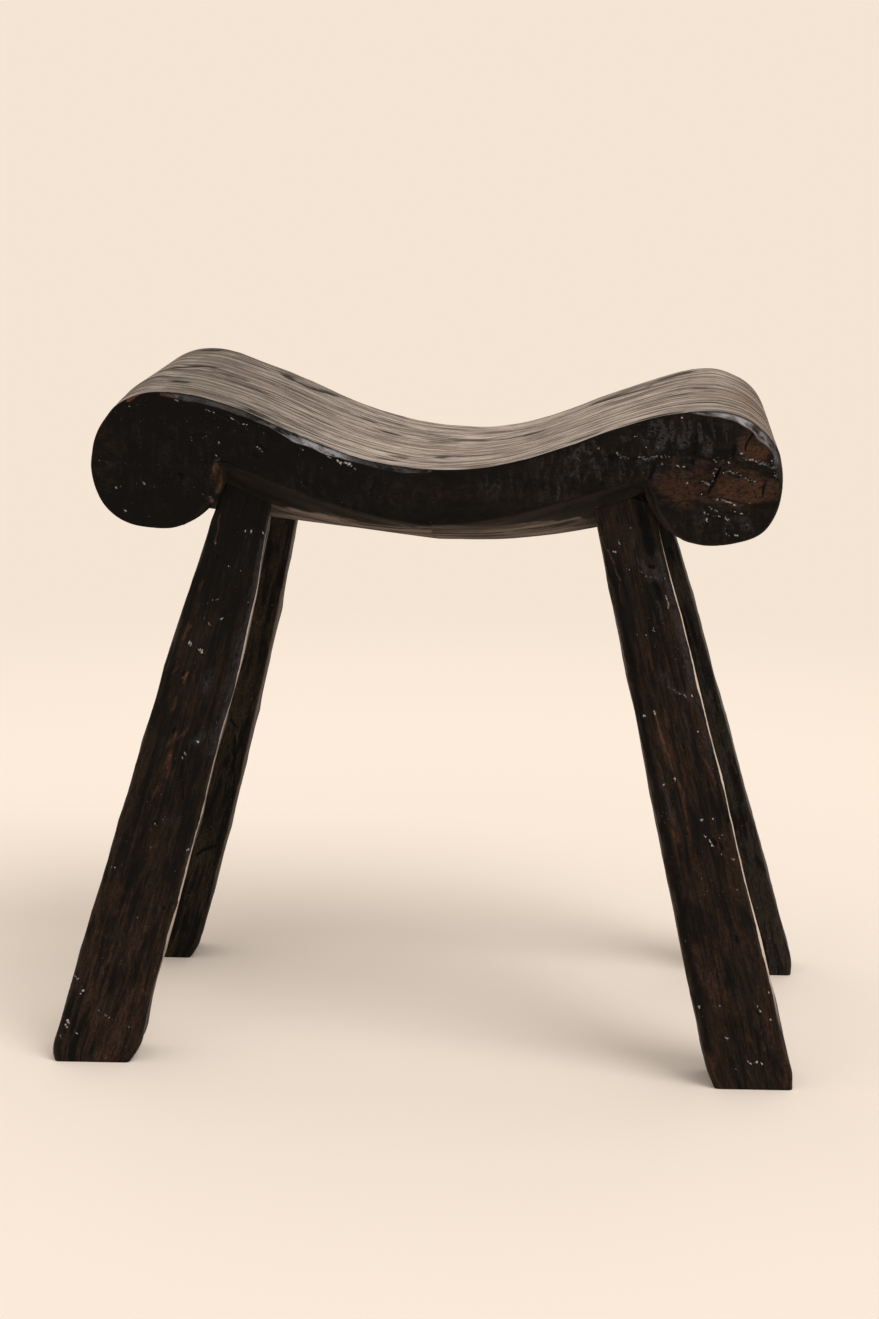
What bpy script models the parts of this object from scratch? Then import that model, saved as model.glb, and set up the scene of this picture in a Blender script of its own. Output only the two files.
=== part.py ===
# Carved saddle stool: one block seat with rolled ends on four splayed legs.
# Metres, +Z up. The origin is on the floor under the middle of the feet and the front faces -Y.
# The seat is one piece of wood. Each leg has a flared tenon in a blind mortise, held by a hidden wedge.

import bpy
import bmesh
from math import cos, sin, pi, radians

# Seat block
SEAT_DEPTH = 0.241        # front face to back face
ROLL_BOTTOM = 0.362       # floor to the underside of the rolled ends
ROLL_REACH = 0.178        # middle of the seat to the centre of each roll
LEFT_ROLL_RADIUS = 0.0447
RIGHT_ROLL_RADIUS = 0.0433
LEFT_ROLL_SWELL = 0.0012  # extra radius of the left roll at the back
LEFT_ROLL_DRIFT = 0.0040  # how far the left roll runs outwards at the back
ROLL_FULLNESS = 0.0026    # extra radius where a roll turns from its outer side to its underside
DIP_HEIGHT = 0.4059       # floor to the lowest line of the sitting surface, at the front
BACK_DIP = 0.0046         # how much lower that line lies at the back
EDGE_THICKNESS = 0.0365   # sitting surface to the lower edge, at the middle of the front face
BELLY_DEPTH = 0.0205      # how far the underside hangs below the bevel, at mid depth
TOP_EASE = 0.002          # eased edge round the top and the rolls
BEVEL_IN = 0.008          # lower bevel, measured in from the front and back faces
BEVEL_DROP = 0.003        # lower bevel, measured down at the middle of the seat

# How the seat's curves run: unit shares and angles
FRONT_DIP_SHARE = 1.1
BACK_DIP_SHARE = 1.17
FACE_BEND_SHARE = 1.5
BEVEL_BEND_SHARE = 2.4
LEFT_BELLY_BEND_SHARE = 2.5
RIGHT_BELLY_BEND_SHARE = 3.8
BELLY_ROUND_SHARE = 0.75
BEVEL_CREASE = radians(12)
MIDDLE_CREASE = radians(32)
BELLY_DEPTH_SHARES = (0.1, 0.25, 0.5, 0.75, 1.0)

# Legs
HEAD_TUCK = 0.0080        # how far each leg's outer face sits beyond the crease of the roll
HEAD_INSET = 0.0105       # from the front or back face of the seat to the leg's own outer face
FOOT_THICKNESS = 0.038
HEAD_THICKNESS = 0.034
CORNER_EASE = 0.003       # eased long corners
FOOT_EASE = 0.0015        # eased edge under each foot
LEG_SHARES = (0.12, 0.28, 0.44, 0.60, 0.74, 0.86, 0.95)

# Each leg was hewn by eye, so each has its own splay, bow, widths, swell and turn
LEGS = {
    "front_left": {"side": -1, "row": -1, "splay_out": 0.1115, "splay_back": 0.0280, "bow": 0.0012,
                   "foot_width": 0.0570, "head_width": 0.0345, "swell_share": 2.3, "turn": radians(4.5)},
    "front_right": {"side": 1, "row": -1, "splay_out": 0.1065, "splay_back": 0.0205, "bow": 0.0008,
                    "foot_width": 0.0570, "head_width": 0.0390, "swell_share": 1.2, "turn": radians(4.5)},
    "back_left": {"side": -1, "row": 1, "splay_out": 0.1035, "splay_back": 0.0100, "bow": 0,
                  "foot_width": 0.0535, "head_width": 0.0350, "swell_share": 1.8, "turn": radians(4)},
    "back_right": {"side": 1, "row": 1, "splay_out": 0.1150, "splay_back": 0.0320, "bow": 0,
                   "foot_width": 0.0550, "head_width": 0.0380, "swell_share": 1.8, "turn": radians(4)},
}

# Joints between the legs and the seat
TENON_WIDTH = 0.024       # at the shoulder, along the seat
TENON_THICKNESS = 0.024   # across the seat
TENON_FLARE = 0.003       # how much wider the wedged end is than the shoulder
TENON_COVER = 0.019       # wood left above the blind mortise
TENON_ROOT = 0.045        # tenon block sunk into the leg below the seat line
WEDGE_LENGTH = 0.022
WEDGE_BUTT = 0.0050       # thick end of the wedge
WEDGE_TIP = 0.0014        # thin end of the wedge
FIT = 0.0003              # gap between touching pieces of wood
OVERRUN = 0.010           # how far a cutting shape runs past what it cuts

DIP_STEPS = 12
ROLL_STEPS = 20
UNDER_STEPS = 9
GAUGE_STEPS = 64
EDGE_ANGLE = radians(30)  # turns sharper than this stay crisp when shaded

EDGE_Z = DIP_HEIGHT - EDGE_THICKNESS
HEAD_OUT = ROLL_REACH - (LEFT_ROLL_RADIUS + RIGHT_ROLL_RADIUS) / 2 + HEAD_TUCK
HEAD_BACK = SEAT_DEPTH / 2 - HEAD_INSET - HEAD_THICKNESS / 2


def clear_scene():
    for thing in list(bpy.data.objects):
        bpy.data.objects.remove(thing, do_unlink=True)


def wood(name, colour, roughness):
    material = bpy.data.materials.new(name)
    material.use_nodes = True
    shader = material.node_tree.nodes["Principled BSDF"]
    shader.inputs["Base Color"].default_value = (*colour, 1)
    shader.inputs["Roughness"].default_value = roughness
    shader.inputs["Metallic"].default_value = 0
    return material


def back_share(y):
    """0 at the front face of the seat, 1 at the back face."""
    return y / SEAT_DEPTH + 1 / 2


def roll_radius(side, y):
    if side > 0:
        return RIGHT_ROLL_RADIUS
    return LEFT_ROLL_RADIUS + LEFT_ROLL_SWELL * back_share(y)


def roll_reach(side, y):
    if side > 0:
        return ROLL_REACH
    return ROLL_REACH + LEFT_ROLL_DRIFT * back_share(y)


def top_height(x, y):
    """Sitting surface above the floor: a dip that runs up to the crown of each roll."""
    low = DIP_HEIGHT - BACK_DIP * back_share(y)
    crown = ROLL_BOTTOM + 2 * roll_radius(x, y)
    along = min(abs(x) / roll_reach(x, y), 1)
    steepness = FRONT_DIP_SHARE + (BACK_DIP_SHARE - FRONT_DIP_SHARE) * back_share(y)
    return low + (crown - low) * (1 - cos(pi * along ** steepness)) / 2


def belly_share(inset):
    """0 at the lower bevel, 1 at mid depth, following a rounded underside."""
    run = SEAT_DEPTH / 2 - BEVEL_IN
    left = max(0, 1 - (inset - BEVEL_IN) / run)
    return (1 - left ** 2) ** BELLY_ROUND_SHARE


def under_line(side, inset):
    """Height at the middle, crease angle and bend of the underside at a depth in from the face."""
    if inset < BEVEL_IN:
        share = inset / BEVEL_IN
        return (EDGE_Z - BEVEL_DROP * share, BEVEL_CREASE * share,
                FACE_BEND_SHARE + (BEVEL_BEND_SHARE - FACE_BEND_SHARE) * share)
    share = belly_share(inset)
    bend = RIGHT_BELLY_BEND_SHARE if side > 0 else LEFT_BELLY_BEND_SHARE
    return (EDGE_Z - BEVEL_DROP - BELLY_DEPTH * share,
            BEVEL_CREASE + (MIDDLE_CREASE - BEVEL_CREASE) * share,
            BEVEL_BEND_SHARE + (bend - BEVEL_BEND_SHARE) * share)


def crease_point(side, y, crease, ease):
    """Where the underside runs into the roll."""
    radius = roll_radius(side, y)
    return (roll_reach(side, y) - (radius - ease) * cos(crease),
            ROLL_BOTTOM + radius - (radius - ease) * sin(crease))


def under_height(x, y):
    """Underside above the floor."""
    middle, crease, bend = under_line(x, SEAT_DEPTH / 2 - abs(y))
    crease_x, crease_z = crease_point(x, y, crease, 0)
    return middle + (crease_z - middle) * min(abs(x) / crease_x, 1) ** bend


def half_outline(side, y):
    """One half of the seat's outline, from the middle of the top round the roll to the underside."""
    inset = SEAT_DEPTH / 2 - abs(y)
    ease = max(0, TOP_EASE - inset)
    radius = roll_radius(side, y)
    middle, crease, bend = under_line(side, inset)
    crease_x, crease_z = crease_point(side, y, crease, ease)
    points = []
    for i in range(DIP_STEPS):
        x = side * roll_reach(side, y) * i / DIP_STEPS
        points.append((x, y, top_height(x, y) - ease))
    for i in range(ROLL_STEPS):
        angle = pi / 2 - (3 * pi / 2 - crease) * i / ROLL_STEPS
        full = ROLL_FULLNESS * sin(2 * angle) ** 2 if -pi / 2 < angle < 0 else 0
        points.append((side * (roll_reach(side, y) + (radius + full - ease) * cos(angle)), y,
                       ROLL_BOTTOM + radius + (radius + full - ease) * sin(angle)))
    for i in range(UNDER_STEPS + 1):
        share = 1 - i / UNDER_STEPS
        points.append((side * crease_x * share, y, middle + (crease_z - middle) * share ** bend))
    return points


def seat_mesh(name):
    """Seat block through its outlines at each depth, front to back."""
    half = SEAT_DEPTH / 2
    insets = [0, TOP_EASE, BEVEL_IN]
    insets += [BEVEL_IN + (half - BEVEL_IN) * share for share in BELLY_DEPTH_SHARES]
    places = [inset - half for inset in insets] + [half - inset for inset in reversed(insets[:-1])]
    rings = [half_outline(1, y) + list(reversed(half_outline(-1, y)[1:-1])) for y in places]
    return skin(name, rings)


def roll_gauge(side):
    """Plain cylinder a little larger than a roll, which keeps the legs clear of it."""
    rings = []
    for y in (-SEAT_DEPTH / 2, SEAT_DEPTH / 2):
        middle_x = side * roll_reach(side, y)
        middle_z = ROLL_BOTTOM + roll_radius(side, y)
        radius = roll_radius(side, y) + FIT
        turns = [2 * pi * i / GAUGE_STEPS for i in range(GAUGE_STEPS)]
        rings.append([(middle_x + radius * cos(t), y, middle_z + radius * sin(t)) for t in turns])
    return skin("roll_gauge", rings)


def skin(name, outlines):
    """Closed solid through a row of outlines that have the same number of points."""
    shape = bmesh.new()
    rings = [[shape.verts.new(point) for point in outline] for outline in outlines]
    for near, far in zip(rings, rings[1:]):
        for i in range(len(near)):
            j = (i + 1) % len(near)
            shape.faces.new((near[i], near[j], far[j], far[i]))
    shape.faces.new(list(reversed(rings[0])))
    shape.faces.new(rings[-1])
    bmesh.ops.recalc_face_normals(shape, faces=shape.faces)
    bmesh.ops.triangulate(shape, faces=[face for face in shape.faces if len(face.verts) == 4])
    mesh = bpy.data.meshes.new(name)
    shape.to_mesh(mesh)
    shape.free()
    mesh.shade_smooth()
    mesh.set_sharp_from_angle(angle=EDGE_ANGLE)
    return mesh


def section(centre, turn, width, thickness, ease):
    """Corners of a level cut through a leg: a turned rectangle, with eased corners if asked."""
    x, y, z = centre
    a, b = width / 2, thickness / 2
    if ease:
        corners = [(-a + ease, -b), (a - ease, -b), (a, -b + ease), (a, b - ease),
                   (a - ease, b), (-a + ease, b), (-a, b - ease), (-a, -b + ease)]
    else:
        corners = [(-a, -b), (a, -b), (a, b), (-a, b)]
    return [(x + u * cos(turn) - v * sin(turn), y + u * sin(turn) + v * cos(turn), z) for u, v in corners]


def place(name, mesh, stool, material=None):
    thing = bpy.data.objects.new(name, mesh)
    bpy.context.scene.collection.objects.link(thing)
    thing.parent = stool
    if material:
        mesh.materials.append(material)
    return thing


def as_cutter(thing):
    thing.hide_render = True
    thing.display_type = "WIRE"
    return thing


def combine(thing, other, operation):
    boolean = thing.modifiers.new(other.name, "BOOLEAN")
    boolean.object = other
    boolean.operation = operation
    boolean.solver = "EXACT"


def head_height(leg):
    """Where the leg's centre line meets the underside."""
    return under_height(leg["side"] * (HEAD_OUT - leg["head_width"] / 2), leg["row"] * HEAD_BACK)


def leg_width(leg, z):
    share = max(z, 0) / head_height(leg)
    return leg["foot_width"] - (leg["foot_width"] - leg["head_width"]) * share ** leg["swell_share"]


def leg_centre(leg, z):
    """Centre of the leg's level section: the outer face runs almost straight from foot to seat."""
    below = 1 - z / head_height(leg)
    out = HEAD_OUT + leg["splay_out"] * below + 4 * leg["bow"] * below * (1 - below)
    back = HEAD_BACK + leg["splay_back"] * below
    half = leg_width(leg, z) / 2
    return (leg["side"] * (out - half * cos(leg["turn"])),
            leg["row"] * back - leg["side"] * half * sin(leg["turn"]), z)


def tenon_centre(leg, z):
    """Centre of the tenon: it carries on from the leg's head at the slant of the outer face."""
    head = head_height(leg)
    x, y, _ = leg_centre(leg, head)
    below = 1 - z / head
    return x + leg["side"] * leg["splay_out"] * below, y + leg["row"] * leg["splay_back"] * below, z


def tenon_top(leg):
    x, y, _ = leg_centre(leg, head_height(leg))
    return top_height(x, y) - TENON_COVER


def tenon_section(leg, z, grow):
    head = head_height(leg)
    flare = TENON_FLARE * (z - head) / (tenon_top(leg) - head)
    return section(tenon_centre(leg, z), leg["turn"], TENON_WIDTH + flare + 2 * grow,
                   TENON_THICKNESS + 2 * grow, 0)


def wedge_section(leg, z, grow, thickness):
    top = tenon_top(leg)
    share = (z - top + WEDGE_LENGTH) / WEDGE_LENGTH
    width = WEDGE_TIP + (WEDGE_BUTT - WEDGE_TIP) * share
    return section(tenon_centre(leg, z), leg["turn"], width + 2 * grow, thickness, 0)


def foot_corners(leg):
    return section(leg_centre(leg, FOOT_EASE), leg["turn"], leg_width(leg, FOOT_EASE),
                   FOOT_THICKNESS, CORNER_EASE)


def seat_place():
    """Place of the seat's middle, measured from the middle of the four feet."""
    corners = [corner for leg in LEGS.values() for corner in foot_corners(leg)]
    spans = [[corner[axis] for corner in corners] for axis in (0, 1)]
    x, y = [-(min(span) + max(span)) / 2 for span in spans]
    return x, y, 0


def leg_body(name, leg):
    """Leg from the floor to inside the seat block, before its shoulders are cut."""
    head = head_height(leg)
    above = (head + tenon_top(leg)) / 2
    heights = [FOOT_EASE] + [head * share for share in LEG_SHARES] + [above]
    foot = section(leg_centre(leg, 0), leg["turn"], leg_width(leg, 0) - 2 * FOOT_EASE,
                   FOOT_THICKNESS - 2 * FOOT_EASE, CORNER_EASE)
    sections = [foot]
    for z in heights:
        thickness = FOOT_THICKNESS + (HEAD_THICKNESS - FOOT_THICKNESS) * z / head
        sections.append(section(leg_centre(leg, z), leg["turn"], leg_width(leg, z), thickness, CORNER_EASE))
    return skin(name, sections)


def build_seat(stool, material):
    seat = place("seat", seat_mesh("seat"), stool, material)
    for name, leg in LEGS.items():
        low = tenon_section(leg, head_height(leg) - TENON_ROOT, FIT)
        high = tenon_section(leg, tenon_top(leg) + FIT, FIT)
        mortise = place("mortise_" + name, skin("mortise_" + name, [low, high]), stool)
        combine(seat, as_cutter(mortise), "DIFFERENCE")
    return seat


def build_leg(name, leg, scribes, stool, material):
    """Leg with shoulders scribed to the underside, a flared tenon and a kerf for its wedge."""
    thing = place("leg_" + name, leg_body("leg_" + name, leg), stool, material)
    for scribe in scribes:
        combine(thing, scribe, "DIFFERENCE")

    top = tenon_top(leg)
    sections = [tenon_section(leg, z, 0) for z in (head_height(leg) - TENON_ROOT, top)]
    tenon = place("tenon_" + name, skin("tenon_" + name, sections), stool)
    combine(thing, as_cutter(tenon), "UNION")

    across = TENON_THICKNESS + 2 * OVERRUN
    sections = [wedge_section(leg, z, FIT, across) for z in (top - WEDGE_LENGTH - FIT, top + OVERRUN)]
    kerf = place("kerf_" + name, skin("kerf_" + name, sections), stool)
    combine(thing, as_cutter(kerf), "DIFFERENCE")
    return thing


def build_wedge(name, leg, stool, material):
    top = tenon_top(leg)
    sections = [wedge_section(leg, z, 0, TENON_THICKNESS) for z in (top - WEDGE_LENGTH, top)]
    return place("wedge_" + name, skin("wedge_" + name, sections), stool, material)


def main():
    clear_scene()
    stool = bpy.data.objects.new("stool", None)
    bpy.context.scene.collection.objects.link(stool)
    stool.location = seat_place()

    build_seat(stool, wood("dark seat wood", (0.040, 0.033, 0.028), 0.55))
    scribe = as_cutter(place("seat_gauge", seat_mesh("seat_gauge"), stool))
    scribe.location.z = -FIT
    rolls = {side: as_cutter(place("roll_gauge", roll_gauge(side), stool)) for side in (-1, 1)}
    for name, leg in LEGS.items():
        scribes = (scribe, rolls[leg["side"]])
        build_leg(name, leg, scribes, stool, wood("dark leg wood " + name, (0.034, 0.025, 0.020), 0.5))
        build_wedge(name, leg, stool, wood("pale wedge wood " + name, (0.35, 0.22, 0.12), 0.7))


main()
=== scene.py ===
from math import cos, sin, pi, radians
import bpy
import numpy as np
from mathutils import Matrix, Vector, noise


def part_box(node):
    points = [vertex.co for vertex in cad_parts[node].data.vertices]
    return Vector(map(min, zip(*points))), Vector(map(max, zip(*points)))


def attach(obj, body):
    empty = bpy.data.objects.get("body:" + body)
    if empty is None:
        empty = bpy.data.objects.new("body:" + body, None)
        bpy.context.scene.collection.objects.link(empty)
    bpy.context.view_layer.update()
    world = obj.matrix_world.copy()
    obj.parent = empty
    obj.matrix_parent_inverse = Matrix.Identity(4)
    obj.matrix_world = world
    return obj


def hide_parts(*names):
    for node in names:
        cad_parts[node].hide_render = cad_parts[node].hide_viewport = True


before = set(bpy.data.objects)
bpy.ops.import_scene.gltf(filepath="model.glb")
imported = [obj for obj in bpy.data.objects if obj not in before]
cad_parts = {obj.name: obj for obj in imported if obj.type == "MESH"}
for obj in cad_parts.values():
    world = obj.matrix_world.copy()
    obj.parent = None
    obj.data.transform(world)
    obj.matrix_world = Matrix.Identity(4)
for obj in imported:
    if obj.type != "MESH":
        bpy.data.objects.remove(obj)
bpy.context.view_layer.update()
mm = 0.001
legNames = ("front_left", "front_right", "back_left", "back_right")


# Node helpers, for shader trees and geometry trees alike

def plug(tree, socket, value):
    value = getattr(value, "socket", value)
    if isinstance(value, bpy.types.NodeSocket):
        tree.links.new(value, socket)
    else:
        socket.default_value = value


def addNode(tree, kind, inputs=None, **settings):
    node = tree.nodes.new(kind)
    for name, value in settings.items():
        setattr(node, name, value)
    for key, value in (inputs or {}).items():
        plug(tree, node.inputs[key], value)
    return node


class Field:
    # a number in a node tree that can be written in plain sums
    def __init__(self, tree, socket):
        self.tree, self.socket = tree, socket

    def sum(self, operation, *values):
        node = addNode(self.tree, "ShaderNodeMath", dict(enumerate(values)), operation=operation)
        return Field(self.tree, node.outputs[0])

    def __add__(self, other):
        return self.sum("ADD", self, other)

    def __radd__(self, other):
        return self.sum("ADD", other, self)

    def __sub__(self, other):
        return self.sum("SUBTRACT", self, other)

    def __rsub__(self, other):
        return self.sum("SUBTRACT", other, self)

    def __mul__(self, other):
        return self.sum("MULTIPLY", self, other)

    def __rmul__(self, other):
        return self.sum("MULTIPLY", other, self)

    def __truediv__(self, other):
        return self.sum("DIVIDE", self, other)

    def __pow__(self, other):
        return self.sum("POWER", self, other)

    def least(self, other):
        return self.sum("MINIMUM", self, other)

    def most(self, other):
        return self.sum("MAXIMUM", self, other)

    def size(self):
        return self.sum("ABSOLUTE", self)

    def rise(self, low, high):
        # 0 below low, 1 above high, smooth between; low may be the larger one
        node = addNode(self.tree, "ShaderNodeMapRange", {"Value": self, "From Min": low, "From Max": high},
                       interpolation_type="SMOOTHSTEP")
        return Field(self.tree, node.outputs[0])


def vectorField(tree, x, y, z):
    return addNode(tree, "ShaderNodeCombineXYZ", {"X": x, "Y": y, "Z": z}).outputs[0]


def vectorNode(tree, operation, *values, out=0):
    # vector maths: output 0 is a vector, output 1 a number
    return addNode(tree, "ShaderNodeVectorMath", dict(enumerate(values)), operation=operation).outputs[out]


def scaled(tree, vector, scale):
    return addNode(tree, "ShaderNodeVectorMath", {0: vector, "Scale": scale}, operation="SCALE").outputs[0]


def stretched(tree, place, scale, shift=(0, 0, 0)):
    return vectorNode(tree, "MULTIPLY_ADD", place, scale, shift)


def axes(tree, vector):
    node = addNode(tree, "ShaderNodeSeparateXYZ", {"Vector": vector})
    return [Field(tree, socket) for socket in node.outputs]


def noiseField(tree, place, scale, detail=4.0, rough=0.55, warp=0.0, shift=(0, 0, 0)):
    node = addNode(tree, "ShaderNodeTexNoise", {"Vector": stretched(tree, place, scale, shift), "Scale": 1.0,
                                                "Detail": detail, "Roughness": rough, "Distortion": warp})
    return Field(tree, node.outputs["Fac"])


def vectorWarp(tree, place, amount):
    # the place shaken a little, so that cells lose their even shapes
    node = addNode(tree, "ShaderNodeTexNoise", {"Vector": place, "Scale": 120.0, "Detail": 2.0})
    centred = vectorNode(tree, "SUBTRACT", node.outputs["Color"], (0.5, 0.5, 0.5))
    return vectorNode(tree, "MULTIPLY_ADD", centred, (amount,) * 3, place)


def cellField(tree, place, scale, shift=(0, 0, 0)):
    # distance to the nearest cell middle, and that cell's own random number
    node = addNode(tree, "ShaderNodeTexVoronoi",
                   {"Vector": stretched(tree, place, scale, shift), "Scale": 1.0})
    return Field(tree, node.outputs["Distance"]), axes(tree, node.outputs["Color"])[0]


def pointsOf(numbers):
    return list(zip(numbers[::2], numbers[1::2]))


def linesField(tree, place, lines):
    # how strongly a flat place lies on any of the lines: half width, strength and points, in millimetres
    strongest = None
    for wide, strength, *numbers in lines:
        path = pointsOf(numbers)
        nearest = None
        for start, end in zip(path, path[1:] or path):
            run = Vector((end[0] - start[0], end[1] - start[1], 0)) * mm
            rest = vectorNode(tree, "SUBTRACT", place, Vector((*start, 0)) * mm)
            nearby = (0, 0, 0)
            if run.length:
                along = vectorNode(tree, "DOT_PRODUCT", rest, run / run.length_squared, out=1)
                nearby = scaled(tree, run, addNode(tree, "ShaderNodeClamp", {"Value": along}).outputs[0])
            away = Field(tree, vectorNode(tree, "DISTANCE", rest, nearby, out=1))
            nearest = away if nearest is None else nearest.least(away)
        line = nearest.rise(wide * 2.2 * mm, 0.0) * strength
        strongest = line if strongest is None else strongest.most(line)
    return strongest


def smooth(value, low, high):
    share = min(max((value - low) / (high - low), 0), 1)
    return share * share * (3 - 2 * share)


# Seat: one block whose outline is swept from the front face to the back face

seatLow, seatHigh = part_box("seat")
seatSize = {
    "depth": seatHigh.y - seatLow.y,
    "rollBottom": 362 * mm, "rollReach": 178 * mm,
    "leftRadius": 44.7 * mm, "rightRadius": 43.3 * mm, "leftSwell": 1.2 * mm, "leftDrift": 4.0 * mm,
    "fullness": 2.6 * mm, "rightFullness": 1.4 * mm,
    "dipHeight": 405.9 * mm, "backDip": 4.6 * mm, "frontDipShare": 1.1, "backDipShare": 1.17,
    "edgeThickness": 36.5 * mm, "bellyDepth": 20.5 * mm, "bevelIn": 8 * mm, "bevelDrop": 3 * mm,
    "faceBend": 1.5, "bevelBend": 2.4, "leftBellyBend": 1.0, "rightBellyBend": 2.35, "bellyRound": 0.75,
    "bellySoft": 0.04, "bevelCrease": radians(12), "leftCrease": radians(53), "rightCrease": radians(40),
    "topSteps": 116, "rollSteps": 116, "underSteps": 116, "frontLevels": 46, "backLevels": 8,
    "ringGap": 4.0 * mm,
    "firstRings": (0, 0.4, 0.8, 1.3, 1.8, 2.4, 3.0, 3.6, 4.3, 5.2, 6.4, 8.0),
}
# the back edge of the top wanders a little: middle and reach along the seat, and height
backWander = [(-143 * mm, 36 * mm, -2.1 * mm), (-45 * mm, 76 * mm, 2.3 * mm), (135 * mm, 43 * mm, -1.8 * mm)]
# the rolls swell and flatten: side, middle angle, reach, height, and its share at the front, midway, back
rollSwells = [
    (1, radians(-10), radians(60), 2.2 * mm, (1, 0.6, 0)),
    (-1, radians(22), radians(30), -0.9 * mm, (1, 0.5, 0)),
    (-1, radians(57), radians(33), 2.0 * mm, (0, 1, 0)),
    (1, radians(40), radians(48), -1.5 * mm, (0, 0.3, 1)),
]
seatMiddle = Vector((seatHigh.x - seatSize["rollReach"] - seatSize["rightRadius"],
                     (seatLow.y + seatHigh.y) / 2, 0))
edgeZ = seatSize["dipHeight"] - seatSize["edgeThickness"]


def backShare(y):
    return y / seatSize["depth"] + 1 / 2


def rollRadius(side, y):
    if side > 0:
        return seatSize["rightRadius"]
    return seatSize["leftRadius"] + seatSize["leftSwell"] * backShare(y)


def rollReach(side, y):
    return seatSize["rollReach"] + (0 if side > 0 else seatSize["leftDrift"] * backShare(y))


def topHeight(x, y):
    low = seatSize["dipHeight"] - seatSize["backDip"] * backShare(y)
    crown = seatSize["rollBottom"] + 2 * rollRadius(x, y)
    along = min(abs(x) / rollReach(x, y), 1)
    steepness = (seatSize["frontDipShare"]
                 + (seatSize["backDipShare"] - seatSize["frontDipShare"]) * backShare(y))
    wander = sum(height * smooth(abs(x - middle), reach, 0) for middle, reach, height in backWander)
    return low + (crown - low) * (1 - cos(pi * along ** steepness)) / 2 + wander * backShare(y)


def underLine(side, inset):
    # height at the middle, crease angle and bend of the underside
    s = seatSize
    if inset < s["bevelIn"]:
        share = inset / s["bevelIn"]
        return (edgeZ - s["bevelDrop"] * share, s["bevelCrease"] * share,
                s["faceBend"] + (s["bevelBend"] - s["faceBend"]) * share)
    left = max(0, 1 - (inset - s["bevelIn"]) / (s["depth"] / 2 - s["bevelIn"]))
    share = (1 - left ** 2) ** s["bellyRound"]
    bend, crease = s["leftBellyBend"], s["leftCrease"]
    if side > 0:
        bend, crease = s["rightBellyBend"], s["rightCrease"]
    turn = smooth(share, 0, 0.5)
    return (edgeZ - s["bevelDrop"] - s["bellyDepth"] * share,
            s["bevelCrease"] + (crease - s["bevelCrease"]) * turn,
            s["bevelBend"] + (bend - s["bevelBend"]) * turn)


def underRise(share, bend):
    # how far the underside has risen at a share of the way out, with a soft start
    return share ** bend * share / (share + seatSize["bellySoft"]) * (1 + seatSize["bellySoft"])


def creasePoint(side, y, crease):
    radius = rollRadius(side, y)
    return (rollReach(side, y) - radius * cos(crease), seatSize["rollBottom"] + radius - radius * sin(crease))


def rollFullness(side, angle, y):
    full = 0
    if -pi / 2 < angle < 0:
        full = seatSize["fullness"] * sin(2 * angle) ** 2
    if side > 0 and 0 < angle < pi / 2:
        full = seatSize["rightFullness"] * sin(2 * angle) ** 2
    for swellSide, middle, reach, height, shares in rollSwells:
        if swellSide == side:
            full += height * float(np.interp(backShare(y), (0, 0.3, 1), shares)) * smooth(
                abs(angle - middle), reach, reach / 2)
    return full


# The rim between the top and each face: hewn off in facets at the left and round the right roll
rimSize = {
    "plain": 0.7 * mm, "leftFacet": 4.8 * mm, "slopeFacet": 3.4 * mm, "rightFacet": 5.0 * mm,
    "innerWear": 5.0 * mm, "backFacet": 2.0 * mm, "lower": 0.8 * mm, "wobble": 0.4, "wobbleLength": 11 * mm,
}


def rimCut(side, x, angle, front):
    # how far the rim is cut back at a place of the outline; angle is None away from the rolls
    r = rimSize
    if not front:
        return r["backFacet"]
    if angle is None and side < 0:
        wide = smooth(-x, 104 * mm, 88 * mm) * smooth(-x, 52 * mm, 66 * mm)
        slope = smooth(-x, -10 * mm, 30 * mm) * smooth(-x, 178 * mm, 166 * mm)
        return r["plain"] + max((r["leftFacet"] - r["plain"]) * wide, (r["slopeFacet"] - r["plain"]) * slope)
    if angle is None:
        return r["plain"] + (r["rightFacet"] * 0.55 - r["plain"]) * smooth(x, 160 * mm, 178 * mm)
    inner = (r["innerWear"] - r["plain"]) * smooth(-angle, radians(108), radians(150))
    if side < 0:
        return r["plain"] + inner
    outer = smooth(angle, radians(-8), radians(20)) * (1 - 0.45 * smooth(angle, radians(66), radians(90)))
    return r["plain"] + (r["rightFacet"] - r["plain"]) * outer + inner


def paintedRimHighlight(side, x, angle, front):
    # where a blue-grey highlight is painted on the cut rim
    if not front or (side < 0 and angle is not None):
        return 0
    if side < 0:
        return (0.14 * smooth(-x, -12 * mm, 4 * mm) * smooth(-x, 176 * mm, 166 * mm)
                + 0.76 * smooth(-x, 50 * mm, 66 * mm) * smooth(-x, 112 * mm, 96 * mm))
    if angle is None:
        return 0.45 * smooth(x, 162 * mm, 170 * mm)
    upper = 0.5 * smooth(angle, radians(36), radians(46)) * smooth(angle, radians(86), radians(80))
    return 0.5 * smooth(angle, radians(10), radians(22)) + upper


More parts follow.
